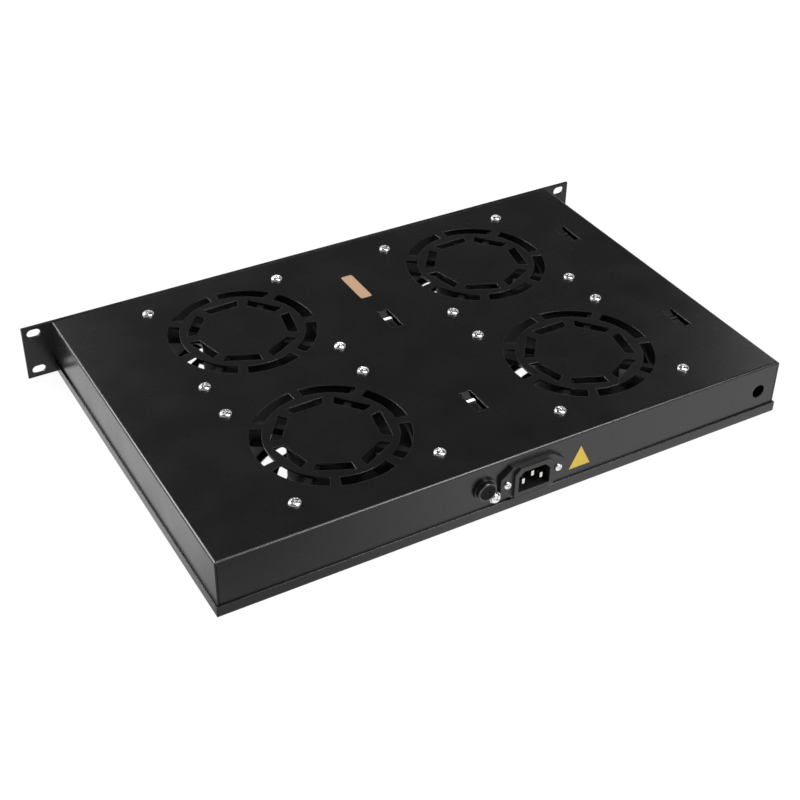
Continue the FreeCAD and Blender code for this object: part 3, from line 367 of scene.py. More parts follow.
def span(tree, value, low, high):
    """Value from 0 to 1 spread over a range."""
    return put(tree, "ShaderNodeMapRange", {
        "Value": value, "From Min": 0.3, "From Max": 0.7, "To Min": low, "To Max": high,
    }).outputs["Result"]


def powder_coat(name, colour, roughness, grain, depth, edge, dust=0.01, shine=0.5):
    """Black powder coat: orange peel, uneven gloss, rounded edges and a little dust."""
    material, tree, shader = fresh(name)
    peel = put(tree, "ShaderNodeGroup", node_tree=shared("grain"))
    peel.inputs["Scale"].default_value = 1.0 / grain
    peel.inputs["Wave"].default_value = 0.04 / grain
    film = put(tree, "ShaderNodeGroup", node_tree=shared("dust"))
    film.inputs["Amount"].default_value = dust
    tone = two_tone(tree, film.outputs["Mask"], colour, (0.16, 0.155, 0.15))
    tree.links.new(tone, shader.inputs["Base Color"])
    gloss = span(tree, peel.outputs["Tone"], roughness - 0.03, roughness + 0.03)
    tree.links.new(gloss, shader.inputs["Roughness"])
    soft = put(tree, "ShaderNodeBevel", {"Radius": edge}, samples=4)
    bump = put(tree, "ShaderNodeBump", {
        "Height": peel.outputs["Height"], "Normal": soft.outputs["Normal"],
        "Strength": 1.0, "Distance": depth,
    })
    tree.links.new(bump.outputs["Normal"], shader.inputs["Normal"])
    shader.inputs["IOR"].default_value = 1.5
    shader.inputs["Specular IOR Level"].default_value = shine
    return material


def moulded(name, colour, roughness, texture=0.0006, depth=0.00001, shine=0.5):
    """Moulded plastic with a fine spark texture and slight colour variation."""
    material, tree, shader = fresh(name)
    peel = put(tree, "ShaderNodeGroup", node_tree=shared("grain"))
    peel.inputs["Scale"].default_value = 1.0 / texture
    peel.inputs["Wave"].default_value = 60.0
    tone = two_tone(tree, peel.outputs["Tone"], shade(colour, 0.85), shade(colour, 1.15))
    tree.links.new(tone, shader.inputs["Base Color"])
    gloss = span(tree, peel.outputs["Tone"], roughness - 0.04, roughness + 0.04)
    tree.links.new(gloss, shader.inputs["Roughness"])
    soft = put(tree, "ShaderNodeBevel", {"Radius": 0.0003}, samples=4)
    bump = put(tree, "ShaderNodeBump", {
        "Height": peel.outputs["Height"], "Normal": soft.outputs["Normal"],
        "Strength": 1.0, "Distance": depth,
    })
    tree.links.new(bump.outputs["Normal"], shader.inputs["Normal"])
    shader.inputs["Specular IOR Level"].default_value = shine
    return material


def plated(name, colour, roughness, lines=(400.0, 400.0, 400.0), depth=0.000004):
    """Plated or drawn metal: fine lines in gloss and relief, tone that varies slowly."""
    material, tree, shader = fresh(name)
    brushed = put(tree, "ShaderNodeGroup", node_tree=shared("brushed"))
    brushed.inputs["Across"].default_value = lines
    tone = two_tone(tree, brushed.outputs["Lines"], shade(colour, 0.88), shade(colour, 1.04))
    tree.links.new(tone, shader.inputs["Base Color"])
    gloss = span(tree, brushed.outputs["Lines"], roughness - 0.05, roughness + 0.08)
    tree.links.new(gloss, shader.inputs["Roughness"])
    bump = put(tree, "ShaderNodeBump", {
        "Height": brushed.outputs["Lines"], "Strength": 1.0, "Distance": depth,
    })
    tree.links.new(bump.outputs["Normal"], shader.inputs["Normal"])
    shader.inputs["Metallic"].default_value = 1.0
    return material


def printed_film(name, colour, roughness=0.42):
    """Thin printed label: slightly mottled ink on a satin film."""
    material, tree, shader = fresh(name)
    peel = put(tree, "ShaderNodeGroup", node_tree=shared("grain"))
    peel.inputs["Scale"].default_value = 900.0
    peel.inputs["Wave"].default_value = 120.0
    tone = two_tone(tree, peel.outputs["Tone"], shade(colour, 0.9), shade(colour, 1.06))
    tree.links.new(tone, shader.inputs["Base Color"])
    gloss = span(tree, peel.outputs["Height"], roughness - 0.05, roughness + 0.05)
    tree.links.new(gloss, shader.inputs["Roughness"])
    return material


def clear_glass(name):
    """Clear glass tube with faint streaks in its gloss."""
    material, tree, shader = fresh(name)
    brushed = put(tree, "ShaderNodeGroup", node_tree=shared("brushed"))
    gloss = span(tree, brushed.outputs["Lines"], 0.02, 0.06)
    tree.links.new(gloss, shader.inputs["Roughness"])
    shader.inputs["Base Color"].default_value = (0.93, 0.96, 0.95, 1.0)
    shader.inputs["Transmission Weight"].default_value = 1.0
    shader.inputs["IOR"].default_value = 1.5
    return material


def matt_middle(material, place, inner, outer):
    """Take the shine off a material within a distance of an axis along +Y, in Object coordinates."""
    tree = material.node_tree
    shader = next(node for node in tree.nodes if node.type == "BSDF_PRINCIPLED")
    where = put(tree, "ShaderNodeTexCoord")
    flat = put(tree, "ShaderNodeVectorMath", {
        0: where.outputs["Object"], 1: (1.0, 0.0, 1.0),
    }, operation="MULTIPLY")
    away = put(tree, "ShaderNodeVectorMath", {
        0: flat.outputs["Vector"], 1: (place[0], 0.0, place[2]),
    }, operation="DISTANCE")
    level = put(tree, "ShaderNodeMapRange", {
        "Value": away.outputs["Value"], "From Min": inner, "From Max": outer,
        "To Min": 0.04, "To Max": 0.9,
    })
    tree.links.new(level.outputs["Result"], shader.inputs["Specular IOR Level"])
    return material


def dress(material, *names):
    """Give CAD nodes a material."""
    for name in names:
        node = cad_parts[name]
        if not node.material_slots:
            node.data.materials.append(material)
        for slot in node.material_slots:
            slot.material = material


def fan_nodes(kind):
    """The four nodes of one kind, one per fan."""
    names = sorted(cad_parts)
    return [name for name in names if name.startswith("fan_") and name.endswith("_" + kind)]


# ---------------------------------------------------------------- mesh tools
def grid_faces(rows, columns, closed=True):
    """Quads between neighbouring rows and columns of a grid; the columns may close on themselves."""
    across = columns if closed else columns - 1
    row, column = np.meshgrid(np.arange(rows - 1), np.arange(across), indexing="ij")
    after = (column + 1) % columns
    quads = np.stack([
        row * columns + column, (row + 1) * columns + column,
        (row + 1) * columns + after, row * columns + after,
    ], axis=-1)
    return quads.reshape(-1, 4)


def build_mesh(name, points, quads, material, body, smooth=True):
    """Mesh object from arrays of points and quads, riding on a body."""
    mesh = bpy.data.meshes.new(name)
    mesh.from_pydata(points.tolist(), [], quads.tolist())
    mesh.validate()
    mesh.polygons.foreach_set("use_smooth", np.full(len(mesh.polygons), smooth))
    mesh.materials.append(material)
    piece = bpy.data.objects.new(name, mesh)
    bpy.context.scene.collection.objects.link(piece)
    weld = piece.modifiers.new("Poles", "WELD")
    weld.merge_threshold = 1e-6
    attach(piece, body)
    return piece


def axes_for(along):
    """Two unit vectors square to a unit vector."""
    along = np.asarray(along, float)
    side = np.array([0.0, 0.0, 1.0]) if abs(along[2]) < 0.5 else np.array([1.0, 0.0, 0.0])
    return side, np.cross(along, side)


def head_shape(radius, height, settings, turn, rings=30, spokes=96):
    """Pan head as height over a disc.

    The height at a share s of the radius is H (1 - s^2.8)^0.42. The cross lowers it by its depth
    times a smooth step across each arm and a taper that ends at the arm's reach.
    """
    share = np.sin(np.linspace(0, math.pi / 2, rings))[:, None]
    angle = np.linspace(0, 2 * math.pi, spokes, endpoint=False)[None, :]
    x = share * np.cos(angle) * radius
    y = share * np.sin(angle) * radius
    lift = height * (1 - share**2.8) ** 0.42 * np.ones_like(angle)
    across = x * math.cos(turn) + y * math.sin(turn)
    upward = y * math.cos(turn) - x * math.sin(turn)
    half = settings.recess_width * radius / 2
    soft = 0.16 * half
    nearest = np.minimum(np.abs(across), np.abs(upward))
    arm = np.clip((half - nearest) / soft + 0.5, 0, 1)
    reach = settings.recess_reach * radius
    taper = np.clip((reach - share * radius) / (0.3 * reach), 0, 1)
    lift = lift - settings.recess_depth * height * arm * taper
    return x, y, lift


def shank_shape(radius, length, pitch, turns_step=14):
    """Threaded shank: radius falls by a triangle wave of the height plus the turned angle."""
    rings = max(8, int(length / pitch * 6))
    depth = np.linspace(0, length, rings)[:, None]
    angle = np.linspace(0, 2 * math.pi, turns_step, endpoint=False)[None, :]
    phase = (depth / pitch + angle / (2 * math.pi)) % 1.0
    groove = np.abs(phase - 0.5) * 2
    fade = np.clip((length - depth) / pitch, 0, 1)
    r = radius - 0.12 * radius * groove * np.clip(depth / pitch, 0, 1) - 0.15 * radius * (1 - fade)
    return r * np.cos(angle), r * np.sin(angle), depth * np.ones_like(angle)


def screw_parts(seat, along, head_r, head_h, shank_r, length, settings, turn):
    """Points and quads of one screw: head above the seat and threaded shank below it."""
    along = np.asarray(along, float)
    side, other = axes_for(along)
    origin = np.asarray(seat, float)
    hx, hy, hz = head_shape(head_r, head_h, settings, turn)
    rows, columns = hx.shape
    head = origin + hx[..., None] * side + hy[..., None] * other - hz[..., None] * along
    under = origin + hx[:1, :, None] * 0 * side
    points = [head.reshape(-1, 3), np.repeat(under.reshape(-1, 3)[:1], columns, axis=0)]
    quads = grid_faces(rows, columns)
    rim = (rows - 1) * columns + np.arange(columns)
    centre = rows * columns + np.arange(columns)
    close = np.stack([rim, centre, np.roll(centre, -1), np.roll(rim, -1)], axis=-1)
    sx, sy, sz = shank_shape(shank_r, length, settings.thread_pitch)
    shank = origin + sx[..., None] * side + sy[..., None] * other + sz[..., None] * along
    tip = origin + along * length
    points += [shank.reshape(-1, 3), np.repeat(tip[None, :], sx.shape[1], axis=0)]
    start = (rows + 1) * columns
    body = grid_faces(sx.shape[0] + 1, sx.shape[1]) + start
    return np.concatenate(points), np.concatenate([quads, close, body])


def joined(parts):
    """Several point and quad arrays as one pair."""
    offset = 0
    all_points = []
    all_quads = []
    for points, quads in parts:
        all_points.append(points)
        all_quads.append(quads + offset)
        offset += len(points)
    return np.concatenate(all_points), np.concatenate(all_quads)


def solid_boxes(name):
    """Lowest and highest corner of each separate solid of a CAD node."""
    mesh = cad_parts[name].data
    points = np.empty(len(mesh.vertices) * 3)
    mesh.vertices.foreach_get("co", points)
    points = points.reshape(-1, 3)
    rounded = np.round(points, 6)
    _, place = np.unique(rounded, axis=0, return_inverse=True)
    place = place.ravel()
    mesh.calc_loop_triangles()
    corners = np.empty(len(mesh.loop_triangles) * 3, int)
    mesh.loop_triangles.foreach_get("vertices", corners)
    corners = place[corners.reshape(-1, 3)]
    label = np.arange(place.max() + 1)
    while True:
        lowest = label[corners].min(axis=1)
        fresh_label = label.copy()
        for column in range(3):
            np.minimum.at(fresh_label, corners[:, column], lowest)
        fresh_label = fresh_label[fresh_label]
        if np.array_equal(fresh_label, label):
            break
        label = fresh_label
    groups = label[place]
    return [
        (points[groups == mark].min(axis=0), points[groups == mark].max(axis=0))
        for mark in np.unique(groups)
    ]


def flip_outward(piece):
    """Recalculate the normals of a closed piece after its doubles are merged."""
    work = bmesh.new()
    work.from_mesh(piece.data)
    bmesh.ops.remove_doubles(work, verts=work.verts, dist=1e-7)
    bmesh.ops.recalc_face_normals(work, faces=work.faces)
    work.to_mesh(piece.data)
    work.free()


def screws_like(name, along, head_share, shank_share, material, settings, spread=1.0):
    """Detailed screws in the places of a CAD node of plain screws.

    along is the way the shanks point. head_share is the head's part of the length and shank_share
    is the shank radius as a part of the head radius.
    """
    along = np.asarray(along, float)
    axis = int(np.argmax(np.abs(along)))
    parts = []
    for index, (low, high) in enumerate(solid_boxes(name)):
        length = high[axis] - low[axis]
        cross = [i for i in range(3) if i != axis]
        solid_r = (high[cross[0]] - low[cross[0]]) / 2
        head_r = solid_r * spread
        head_h = head_share * length
        seat = (low + high) / 2
        outer = low[axis] if along[axis] > 0 else high[axis]
        seat[axis] = outer + along[axis] * head_h
        turn = FIRST_TURN + TURN_STEP * index
        shank = (shank_share * solid_r, length - head_h)
        parts.append(screw_parts(seat, along, head_r, head_h, *shank, settings, turn))
    points, quads = joined(parts)
    piece = build_mesh(name + "_detail", points, quads, material, "tray")
    flip_outward(piece)
    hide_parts(name)
    return piece


def lathe(profile, place, spokes=96):
    """Surface of revolution about +Y: each profile point is a radius and a height on the axis."""
    radius, height = np.asarray(profile, float).T
    angle = np.linspace(0, 2 * math.pi, spokes, endpoint=False)[None, :]
    points = np.stack([
        place[0] + radius[:, None] * np.cos(angle),
        place[1] + height[:, None] * np.ones_like(angle),
        place[2] + radius[:, None] * np.sin(angle),
    ], -1)
    return points.reshape(-1, 3), grid_faces(len(radius), spokes)


def low_cap(material):
    """Flat turning cap: a disc with a rolled rim, a shallow dished face, a stem and a driver slot.

    The profile is a quarter circle at the rim, a parabola across the face and straight lines down
    the stem. The slot lowers the face by a smooth step across its width.
    """
    low, high = solid_boxes("fuse_cap")[0]
    radius = (high[0] - low[0]) / 2
    centre = (low + high) / 2
    thick, edge, stem, depth = 2.6 * MM, 0.8 * MM, 4.6 * MM, 8.0 * MM
    seat = low[1] + depth + 0.05 * MM
    turn = np.linspace(0, math.pi / 2, 12)
    rim = np.stack([radius - edge + edge * np.cos(turn), thick - edge + edge * np.sin(turn)], -1)
    share = np.linspace(1, 0, 40)[1:]
    inner = radius - edge
    face = np.stack([share * inner, thick - 0.3 * MM * (1 - share**2)], -1)
    back = [(0.0, -depth), (stem, -depth), (stem, 0.0), (radius, 0.0)]
    profile = np.vstack([back, rim, face])
    points, quads = lathe(profile, (centre[0], seat, centre[2]), spokes=144)
    half, soft = 0.7 * MM, 0.15 * MM
    across = np.abs(points[:, 2] - centre[2])
    reach = np.hypot(points[:, 0] - centre[0], points[:, 2] - centre[2])
    front = points[:, 1] > seat + thick - 1.2 * MM
    cut = np.clip((half - across) / soft + 0.5, 0, 1) * np.clip((inner - reach) / (0.6 * MM), 0, 1)
    points[:, 1] -= np.where(front, 1.0 * MM * cut, 0.0)
    matt_middle(material, centre, inner - 0.6 * MM, inner)
    piece = build_mesh("fuse_cap_face", points, quads, material, "fuse_knob")
    flip_outward(piece)
    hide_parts("fuse_cap")
    return piece


def rounded_loop(half_w, low, high, corner, steps=10):
    """Closed path round a rectangle in x and z: four straight sides joined by quarter circles."""
    angle = np.linspace(0, math.pi / 2, steps)
    middles = (
        (half_w - corner, high - corner, 0.0),
        (corner - half_w, high - corner, math.pi / 2),
        (corner - half_w, low + corner, math.pi),
        (half_w - corner, low + corner, 1.5 * math.pi),
    )
    rows = []
    for x, z, turn in middles:
        swept = angle + turn
        rows.append(np.stack([x + corner * np.cos(swept), z + corner * np.sin(swept), swept], -1))
    return np.concatenate(rows)


def tie_strap(centre, half_w, low, high, thickness, width):
    """Strap of a cable tie: a rounded strip swept round the loop.

    The section is a superellipse of power 4, thickness by width. The outer side of the bottom run
    has grip teeth, a triangle wave along the loop.
    """
    inset = thickness / 2
    path = rounded_loop(half_w - inset, low + inset, high - inset, thickness)
    closed = np.vstack([path, path[:1] + [0, 0, 2 * math.pi]])
    length = np.concatenate([[0], np.cumsum(np.hypot(*np.diff(closed[:, :2], axis=0).T))])
    along = np.linspace(0, length[-1], 240, endpoint=False)
    x, z, turn = (np.interp(along, length, closed[:, i]) for i in range(3))
    around = np.linspace(0, 2 * math.pi, 20, endpoint=False)
    cos, sin = np.cos(around), np.sin(around)
    out = np.sign(cos) * np.abs(cos) ** 0.5 * thickness / 2
    side = np.sign(sin) * np.abs(sin) ** 0.5 * width / 2
    tooth = np.abs((along / TOOTH_PITCH) % 1.0 - 0.5) * TOOTH_HEIGHT
    reach = out[None, :] * (1 - tooth[:, None] / thickness * (out[None, :] > 0))
    points = np.stack([
        centre[0] + x[:, None] + reach * np.cos(turn)[:, None],
        centre[1] + side[None, :] * np.ones_like(reach),
        z[:, None] + reach * np.sin(turn)[:, None],
    ], -1)
    rows, columns = reach.shape
    quads = grid_faces(rows, columns)
    last = (rows - 1) * columns + np.arange(columns)
    first = np.arange(columns)
    seam = np.stack([last, first, np.roll(first, -1), np.roll(last, -1)], -1)
    return points.reshape(-1, 3), np.concatenate([quads, seam])


def soft_block(low, high, power=0.3, rows=25, columns=48):
    """Box with rounded edges: a superellipsoid, its sines and cosines raised to a small power."""
    low, high = np.asarray(low), np.asarray(high)
    lat = np.linspace(-math.pi / 2, math.pi / 2, rows)[:, None]
    lon = np.linspace(0, 2 * math.pi, columns, endpoint=False)[None, :]

    def bent(value):
        return np.sign(value) * np.abs(value) ** power

    unit = np.stack([
        bent(np.cos(lat)) * bent(np.cos(lon)),
        bent(np.cos(lat)) * bent(np.sin(lon)),
        bent(np.sin(lat)) * np.ones_like(lon),
    ], -1)
    points = (low + high) / 2 + unit * (high - low) / 2
    return points.reshape(-1, 3), grid_faces(rows, columns)


def cable_ties(pale, dark):
    """Toothed ties with a square lock: dark ones at the side wall and pale ones in the middle."""
    strap_t, strap_w, lock = 1.0 * MM, 2.5 * MM, 4.0 * MM
    boxes = solid_boxes("cable_ties")
    for name, material, chosen in (
        ("ties_middle", pale, [b for b in boxes if b[0][0] > -0.1]),
        ("ties_side", dark, [b for b in boxes if b[0][0] < -0.1]),
    ):
        parts = []
        for low, high in chosen:
            centre = (low + high) / 2
            half_w = (high[0] - low[0]) / 2
            under = low[2] + lock - strap_t
            parts.append(tie_strap(centre, half_w, under, high[2], strap_t, strap_w))
            corner = (low[0] + lock, high[1], low[2] + lock - strap_t / 2)
            parts.append(soft_block(low, corner))
        points, quads = joined(parts)
        piece = build_mesh(name, points, quads, material, "tray")
        flip_outward(piece)
        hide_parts("cable_ties")


def film_strip(material):
    """Thin strip on the top with rounded corners and edges that fall to the sheet.

    The outline is a superellipse of power 12. The height over the sheet is the film's thickness
    times one minus the eighth power of the share of the way to the outline.
    """
    low, high = solid_boxes("label_top")[0]
    centre = (low + high) / 2
    rows, columns = 16, 160
    angle = np.linspace(0, 2 * math.pi, columns, endpoint=False)[None, :]
    share = np.linspace(0, 1, rows)[:, None]
    bend = (np.abs(np.cos(angle)) ** 12 + np.abs(np.sin(angle)) ** 12) ** (-1 / 12)
    x = share * bend * np.cos(angle) * FILM_HALF_W
    y = share * bend * np.sin(angle) * FILM_HALF_L
    z = (high[2] - low[2]) * (1 - share**8) * np.ones_like(angle)
    points = np.stack([centre[0] + x, centre[1] + y, low[2] + z], -1).reshape(-1, 3)
    quads = grid_faces(rows, columns)
    piece = build_mesh("label_top_film", points, quads, material, "tray")
    flip_outward(piece)
    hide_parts("label_top")
    return piece


# ---------------------------------------------------------------- operators
class TRAY_OT_sheet_metal(bpy.types.Operator):
    """Powder coat on the tray, the cover and the front panel"""

    bl_idname = "fantray.sheet_metal"
    bl_label = "Coat Sheet Metal"

    def execute(self, context):
        paint = context.scene.fantray_paint
        colour = tuple(paint.colour)
        look = (colour, paint.roughness, paint.grain, paint.grain_depth, paint.edge_round)
        dress(powder_coat("Black powder coat", *look), "chassis_tray", "bottom_cover")
        panel = powder_coat("Black panel coat", *look, shine=0.3)
        dress(panel, "front_panel")
        return {"FINISHED"}


class TRAY_OT_fans(bpy.types.Operator):
    """Finishes of the fan housings, blades, rotors, stators and bearings"""

    bl_idname = "fantray.fans"
    bl_label = "Dress Fans"

    def execute(self, context):
        colour = tuple(context.scene.fantray_moulding.fan)
        casting = powder_coat(
            "Fan casting paint", colour, 0.5, 0.0015, 0.00002, 0.0003, dust=0.02, shine=0.2
        )
        dress(casting, *fan_nodes("frame"))
        dress(moulded("Fan blade plastic", colour, 0.5, shine=0.25), *fan_nodes("impeller"))
        dress(plated("Drawn rotor steel", (0.45, 0.45, 0.46), 0.3), *fan_nodes("rotor"))
        laminations = plated("Stator laminations", (0.35, 0.33, 0.3), 0.5, (60.0, 60.0, 2500.0))
        dress(laminations, *fan_nodes("stator"))
        dress(plated("Bearing steel", (0.75, 0.75, 0.76), 0.12), *fan_nodes("bearings"))
        return {"FINISHED"}


class TRAY_OT_fasteners(bpy.types.Operator):
    """Cross-recess screws of the fans, inlet and earth point, and the finishes of the rest"""

    bl_idname = "fantray.fasteners"
    bl_label = "Build Fasteners"

    def execute(self, context):
        settings = context.scene.fantray_fastener
        metal = tuple(settings.metal)
        zinc = plated("Bright zinc", metal, settings.roughness)
        dull = plated("Dull zinc", shade(metal, 0.8), settings.roughness + 0.15)
        black = plated("Black zinc", (0.05, 0.05, 0.055), 0.35)
        down, inward = (0, 0, -1), (0, -1, 0)
        screws_like("fan_screws", down, FAN_SCREW_HEAD, M4_SHANK, zinc, settings, FAN_HEAD_SPREAD)
        screws_like("inlet_screws", inward, INLET_SCREW_HEAD, M3_SHANK, zinc, settings)
        screws_like("earth_screw", inward, EARTH_SCREW_HEAD, M4_SHANK, zinc, settings)
        dress(zinc, "earth_washer")
        dress(dull, "fan_nuts", "inlet_nuts", "earth_nut", "panel_nuts", "terminal_screws")
        dress(black, "panel_screws", "cover_screws")
        return {"FINISHED"}


class TRAY_OT_power_entry(bpy.types.Operator):
    """Finishes of the mains inlet, the fuse holder and the earth point"""

    bl_idname = "fantray.power_entry"
    bl_label = "Dress Power Entry"

    def execute(self, context):
        colour = tuple(context.scene.fantray_moulding.housing)
        dress(moulded("Inlet plastic", colour, 0.42), "inlet_body")
        holder = moulded("Fuse holder plastic", colour, 0.25, depth=0.000004)
        dress(holder, "fuse_holder_body", "fuse_holder_nut")
        low_cap(moulded("Fuse cap plastic", colour, 0.22, depth=0.000004))
        nickel = plated("Nickel plate", (0.72, 0.7, 0.66), 0.2, (300.0, 40.0, 300.0))
        dress(nickel, "inlet_pins", "switch_tabs", "earth_lug", "fuse_end_caps")
        dress(plated("Brass", (0.78, 0.6, 0.3), 0.28), "fuse_contacts")
        dress(clear_glass("Fuse glass"), "fuse_glass")
        return {"FINISHED"}


class TRAY_OT_switch(bpy.types.Operator):
    """Finishes of the mains switch"""

    bl_idname = "fantray.switch"
    bl_label = "Dress Switch"

    def execute(self, context):
        colour = tuple(context.scene.fantray_moulding.housing)
        plastic = moulded("Switch plastic", colour, 0.3, depth=0.000005)
        dress(plastic, "switch_housing", "switch_rocker")
        return {"FINISHED"}


class TRAY_OT_wiring(bpy.types.Operator):
    """Finishes of the leads, the terminal block and the ties"""

    bl_idname = "fantray.wiring"
    bl_label = "Dress Wiring"

    def execute(self, context):
        nylon = tuple(context.scene.fantray_moulding.nylon)
        dark = tuple(context.scene.fantray_moulding.housing)
        cable_ties(moulded("Natural nylon", nylon, 0.32), moulded("Black nylon", dark, 0.35))
        dress(moulded("Block polyamide", (0.8, 0.8, 0.77), 0.4), "terminal_block")
        dress(moulded("Black sheath", (0.02, 0.02, 0.02), 0.5), *fan_nodes("lead"))
        brown = moulded("Brown insulation", (0.18, 0.07, 0.03), 0.4)
        dress(brown, "lead_inlet_to_fuse", "lead_fuse_to_switch", "lead_switch_to_block")
        dress(moulded("Blue insulation", (0.03, 0.15, 0.5), 0.4), "lead_inlet_to_block")
        dress(moulded("Green insulation", (0.1, 0.45, 0.1), 0.4), "lead_earth")
        return {"FINISHED"}


class TRAY_OT_labels(bpy.types.Operator):
    """Finishes of the plain strip and the plain triangle"""

    bl_idname = "fantray.labels"
    bl_label = "Dress Labels"

    def execute(self, context):
        moulding = context.scene.fantray_moulding
        film_strip(printed_film("Peach film", tuple(moulding.strip)))
        dress(printed_film("Yellow film", tuple(moulding.triangle)), "label_rear")
        return {"FINISHED"}


class TRAY_OT_stage(bpy.types.Operator):
    """Floor, room light, lamps and camera"""

    bl_idname = "fantray.stage"
    bl_label = "Set Stage"

    def execute(self, context):
        studio = context.scene.fantray_studio
        build_floor(studio)
        build_room(context.scene, studio)
        build_lamps(studio)
        build_camera(context.scene, studio)
        context.scene.view_settings.view_transform = "Standard"
        return {"FINISHED"}


# ---------------------------------------------------------------- stage
def seen_rays(tree):
    """Camera, glossy and transmission rays together."""
    path = put(tree, "ShaderNodeLightPath")
    first = put(tree, "ShaderNodeMath", {
        0: path.outputs["Is Camera Ray"], 1: path.outputs["Is Glossy Ray"],
    }, operation="MAXIMUM")
    second = put(tree, "ShaderNodeMath", {
        0: first.outputs[0], 1: path.outputs["Is Transmission Ray"],
    }, operation="MAXIMUM")
    return second.outputs[0]


def build_floor(studio):
    """Large pale floor just under the tray that keeps its shadow, clear when seen from below; in
    reflections it shows a painted shade patch near the rear corner.
    """
    low = CAD_BOX[0][2] - FLOOR_GAP
    signs = ((-1, -1), (1, -1), (1, 1), (-1, 1))
    corners = np.array([[x * FLOOR_HALF, y * FLOOR_HALF, low] for x, y in signs])
    mesh = bpy.data.meshes.new("Floor")
    mesh.from_pydata(corners.tolist(), [], [[0, 1, 2, 3]])
    floor = bpy.data.objects.new("Floor", mesh)
    bpy.context.scene.collection.objects.link(floor)
    material = bpy.data.materials.new("White floor")
    material.use_nodes = True
    tree = material.node_tree
    tree.nodes.clear()
    white = studio.floor_white
    matt = put(tree, "ShaderNodeBsdfDiffuse", {"Color": (white, white, white, 1.0)})
    # painted shade: in reflections the floor darkens towards a patch near the rear corner
    place = put(tree, "ShaderNodeTexCoord")
    away = put(tree, "ShaderNodeVectorMath", {
        0: place.outputs["Object"], 1: (*SHADE_PATCH_CENTRE, low),
    }, operation="DISTANCE")
    fade = put(tree, "ShaderNodeMapRange", {
        "Value": away.outputs["Value"], "From Min": SHADE_PATCH_REACH[0], "From Max": SHADE_PATCH_REACH[1],
        "To Min": studio.painted_corner_shade, "To Max": SHEEN_LEVEL,
    })
    seen = put(tree, "ShaderNodeLightPath")
    level = put(tree, "ShaderNodeMix", {
        0: seen.outputs["Is Glossy Ray"], 2: 1.0, 3: fade.outputs["Result"],
    }, data_type="FLOAT")
    glow = put(tree, "ShaderNodeEmission", {
        "Color": (1.0, 1.0, 1.0, 1.0), "Strength": level.outputs[0],
    })
    share = put(tree, "ShaderNodeMath", {
        0: seen_rays(tree), 1: studio.floor_glow,
    }, operation="MULTIPLY")
    mix = put(tree, "ShaderNodeMixShader", {0: share.outputs[0]})
    tree.links.new(matt.outputs[0], mix.inputs[1])
    tree.links.new(glow.outputs[0], mix.inputs[2])
    clear = put(tree, "ShaderNodeBsdfTransparent")
    side = put(tree, "ShaderNodeNewGeometry")
    sided = put(tree, "ShaderNodeMixShader", {0: side.outputs["Backfacing"]})
    tree.links.new(mix.outputs[0], sided.inputs[1])
    tree.links.new(clear.outputs[0], sided.inputs[2])
    out = put(tree, "ShaderNodeOutputMaterial")
    tree.links.new(sided.outputs[0], out.inputs["Surface"])
    material.cycles.emission_sampling = "NONE"
    mesh.materials.append(material)


def build_room(scene, studio):
    """Room light by height: pale at and below the horizon, dim overhead, white to the camera."""
    world = bpy.data.worlds.new("Room")
    world.use_nodes = True
    tree = world.node_tree
    tree.nodes.clear()
    place = put(tree, "ShaderNodeTexCoord")
    height = put(tree, "ShaderNodeSeparateXYZ", {"Vector": place.outputs["Generated"]})
    dome = put(tree, "ShaderNodeMapRange", {
        "Value": height.outputs["X"], "From Min": DOME_SPAN[0], "From Max": DOME_SPAN[1],
        "To Min": studio.dome * (1 - studio.dome_tilt),
        "To Max": studio.dome * (1 + studio.dome_tilt),
    })
    level = put(tree, "ShaderNodeMapRange", {
        "Value": height.outputs["Z"], "From Min": HORIZON_SPAN[0], "From Max": HORIZON_SPAN[1],
        "To Min": studio.horizon, "To Max": dome.outputs["Result"],
    }, interpolation_type="SMOOTHSTEP")
    path = put(tree, "ShaderNodeLightPath")
    strength = put(tree, "ShaderNodeMix", {
        0: path.outputs["Is Glossy Ray"], 2: 1.0, 3: level.outputs["Result"],
    }, data_type="FLOAT")
    lit = put(tree, "ShaderNodeMath", {0: strength.outputs[0], 1: ROOM_LEVEL}, operation="MULTIPLY")
    shown = put(tree, "ShaderNodeMix", {
        0: path.outputs["Is Camera Ray"], 2: lit.outputs[0], 3: 1.0,
    }, data_type="FLOAT")
    light = put(tree, "ShaderNodeBackground", {
        "Color": (1.0, 1.0, 1.0, 1.0), "Strength": shown.outputs[0],
    })
    out = put(tree, "ShaderNodeOutputWorld")
    tree.links.new(light.outputs[0], out.inputs["Surface"])
    scene.world = world


def area_lamp(name, place, aim, size, power):
    """Square area lamp that looks at a point."""
    data = bpy.data.lights.new(name, "AREA")
    data.size = size
    data.energy = power
    lamp = bpy.data.objects.new(name, data)
    lamp.location = place
    lamp.rotation_euler = (Vector(aim) - Vector(place)).to_track_quat("-Z", "Y").to_euler()
    bpy.context.scene.collection.objects.link(lamp)


def build_lamps(studio):
    """Soft lamps round the tray, all outside what the flat top mirrors to the camera."""
    aim = Vector([(a + b) / 2 for a, b in zip(*CAD_BOX)])
    places = (
        ("Overhead lamp", (-0.15, 0.4, 1.7), 0.8, studio.overhead),
        ("Rear lamp", (-0.75, 1.3, 1.35), 0.8, studio.rear),
        ("Side lamp", (1.05, -1.05, 1.0), 0.8, studio.side),
        ("Far left lamp", (0.08, -1.7, 1.1), 0.4, studio.far_left),
        ("Far right lamp", (-1.62, -0.8, 1.1), 0.4, studio.far_right),
    )
    for name, place, size, power in places:
        area_lamp(name, Vector(place), aim, size, power)


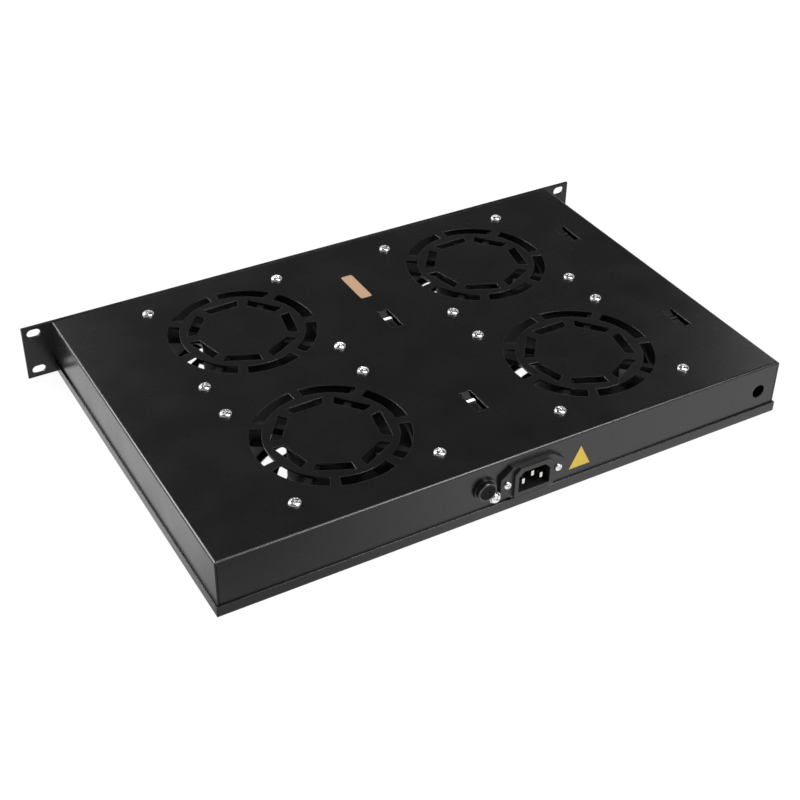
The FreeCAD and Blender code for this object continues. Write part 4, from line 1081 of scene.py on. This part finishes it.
def build_camera(scene, studio):
    """Camera that looks from its place to its aim, turned about its own axis by the roll."""
    data = bpy.data.cameras.new("Camera")
    data.sensor_width = 36.0
    data.lens = studio.lens
    camera = bpy.data.objects.new("Camera", data)
    eye = Vector(studio.eye)
    look = Vector(studio.aim) - eye
    turn = look.to_track_quat("-Z", "Y")
    camera.rotation_mode = "QUATERNION"
    camera.rotation_quaternion = turn @ Quaternion((0, 0, 1), studio.roll)
    camera.location = eye
    scene.collection.objects.link(camera)
    scene.camera = camera


# ---------------------------------------------------------------- panel and registration
STEPS = ("sheet_metal", "fans", "fasteners", "power_entry", "switch", "wiring", "labels", "stage")


class TRAY_PT_sidebar(bpy.types.Panel):
    """Sidebar panel with the steps and the settings"""

    bl_label = "Fan Tray"
    bl_idname = "TRAY_PT_sidebar"
    bl_space_type = "VIEW_3D"
    bl_region_type = "UI"
    bl_category = "Fan Tray"

    def draw(self, context):
        for step in STEPS:
            self.layout.operator("fantray." + step)
        for group in ("fantray_paint", "fantray_fastener", "fantray_moulding", "fantray_studio"):
            settings = getattr(context.scene, group)
            box = self.layout.box()
            for key in settings.__annotations__:
                box.prop(settings, key)


SETTINGS = (
    ("fantray_paint", PaintSettings),
    ("fantray_fastener", FastenerSettings),
    ("fantray_moulding", MouldingSettings),
    ("fantray_studio", StudioSettings),
)
OPERATORS = (
    TRAY_OT_sheet_metal,
    TRAY_OT_fans,
    TRAY_OT_fasteners,
    TRAY_OT_power_entry,
    TRAY_OT_switch,
    TRAY_OT_wiring,
    TRAY_OT_labels,
    TRAY_OT_stage,
    TRAY_PT_sidebar,
)


def register():
    """Add the classes and the settings of the scene."""
    for key, settings in SETTINGS:
        bpy.utils.register_class(settings)
        setattr(bpy.types.Scene, key, bpy.props.PointerProperty(type=settings))
    for item in OPERATORS:
        bpy.utils.register_class(item)


def unregister():
    """Remove what register added."""
    for item in reversed(OPERATORS):
        bpy.utils.unregister_class(item)
    for key, settings in reversed(SETTINGS):
        delattr(bpy.types.Scene, key)
        bpy.utils.unregister_class(settings)


def main():
    """Run every step in order."""
    register()
    for step in STEPS:
        getattr(bpy.ops.fantray, step)()


if __name__ == "__main__":
    main()
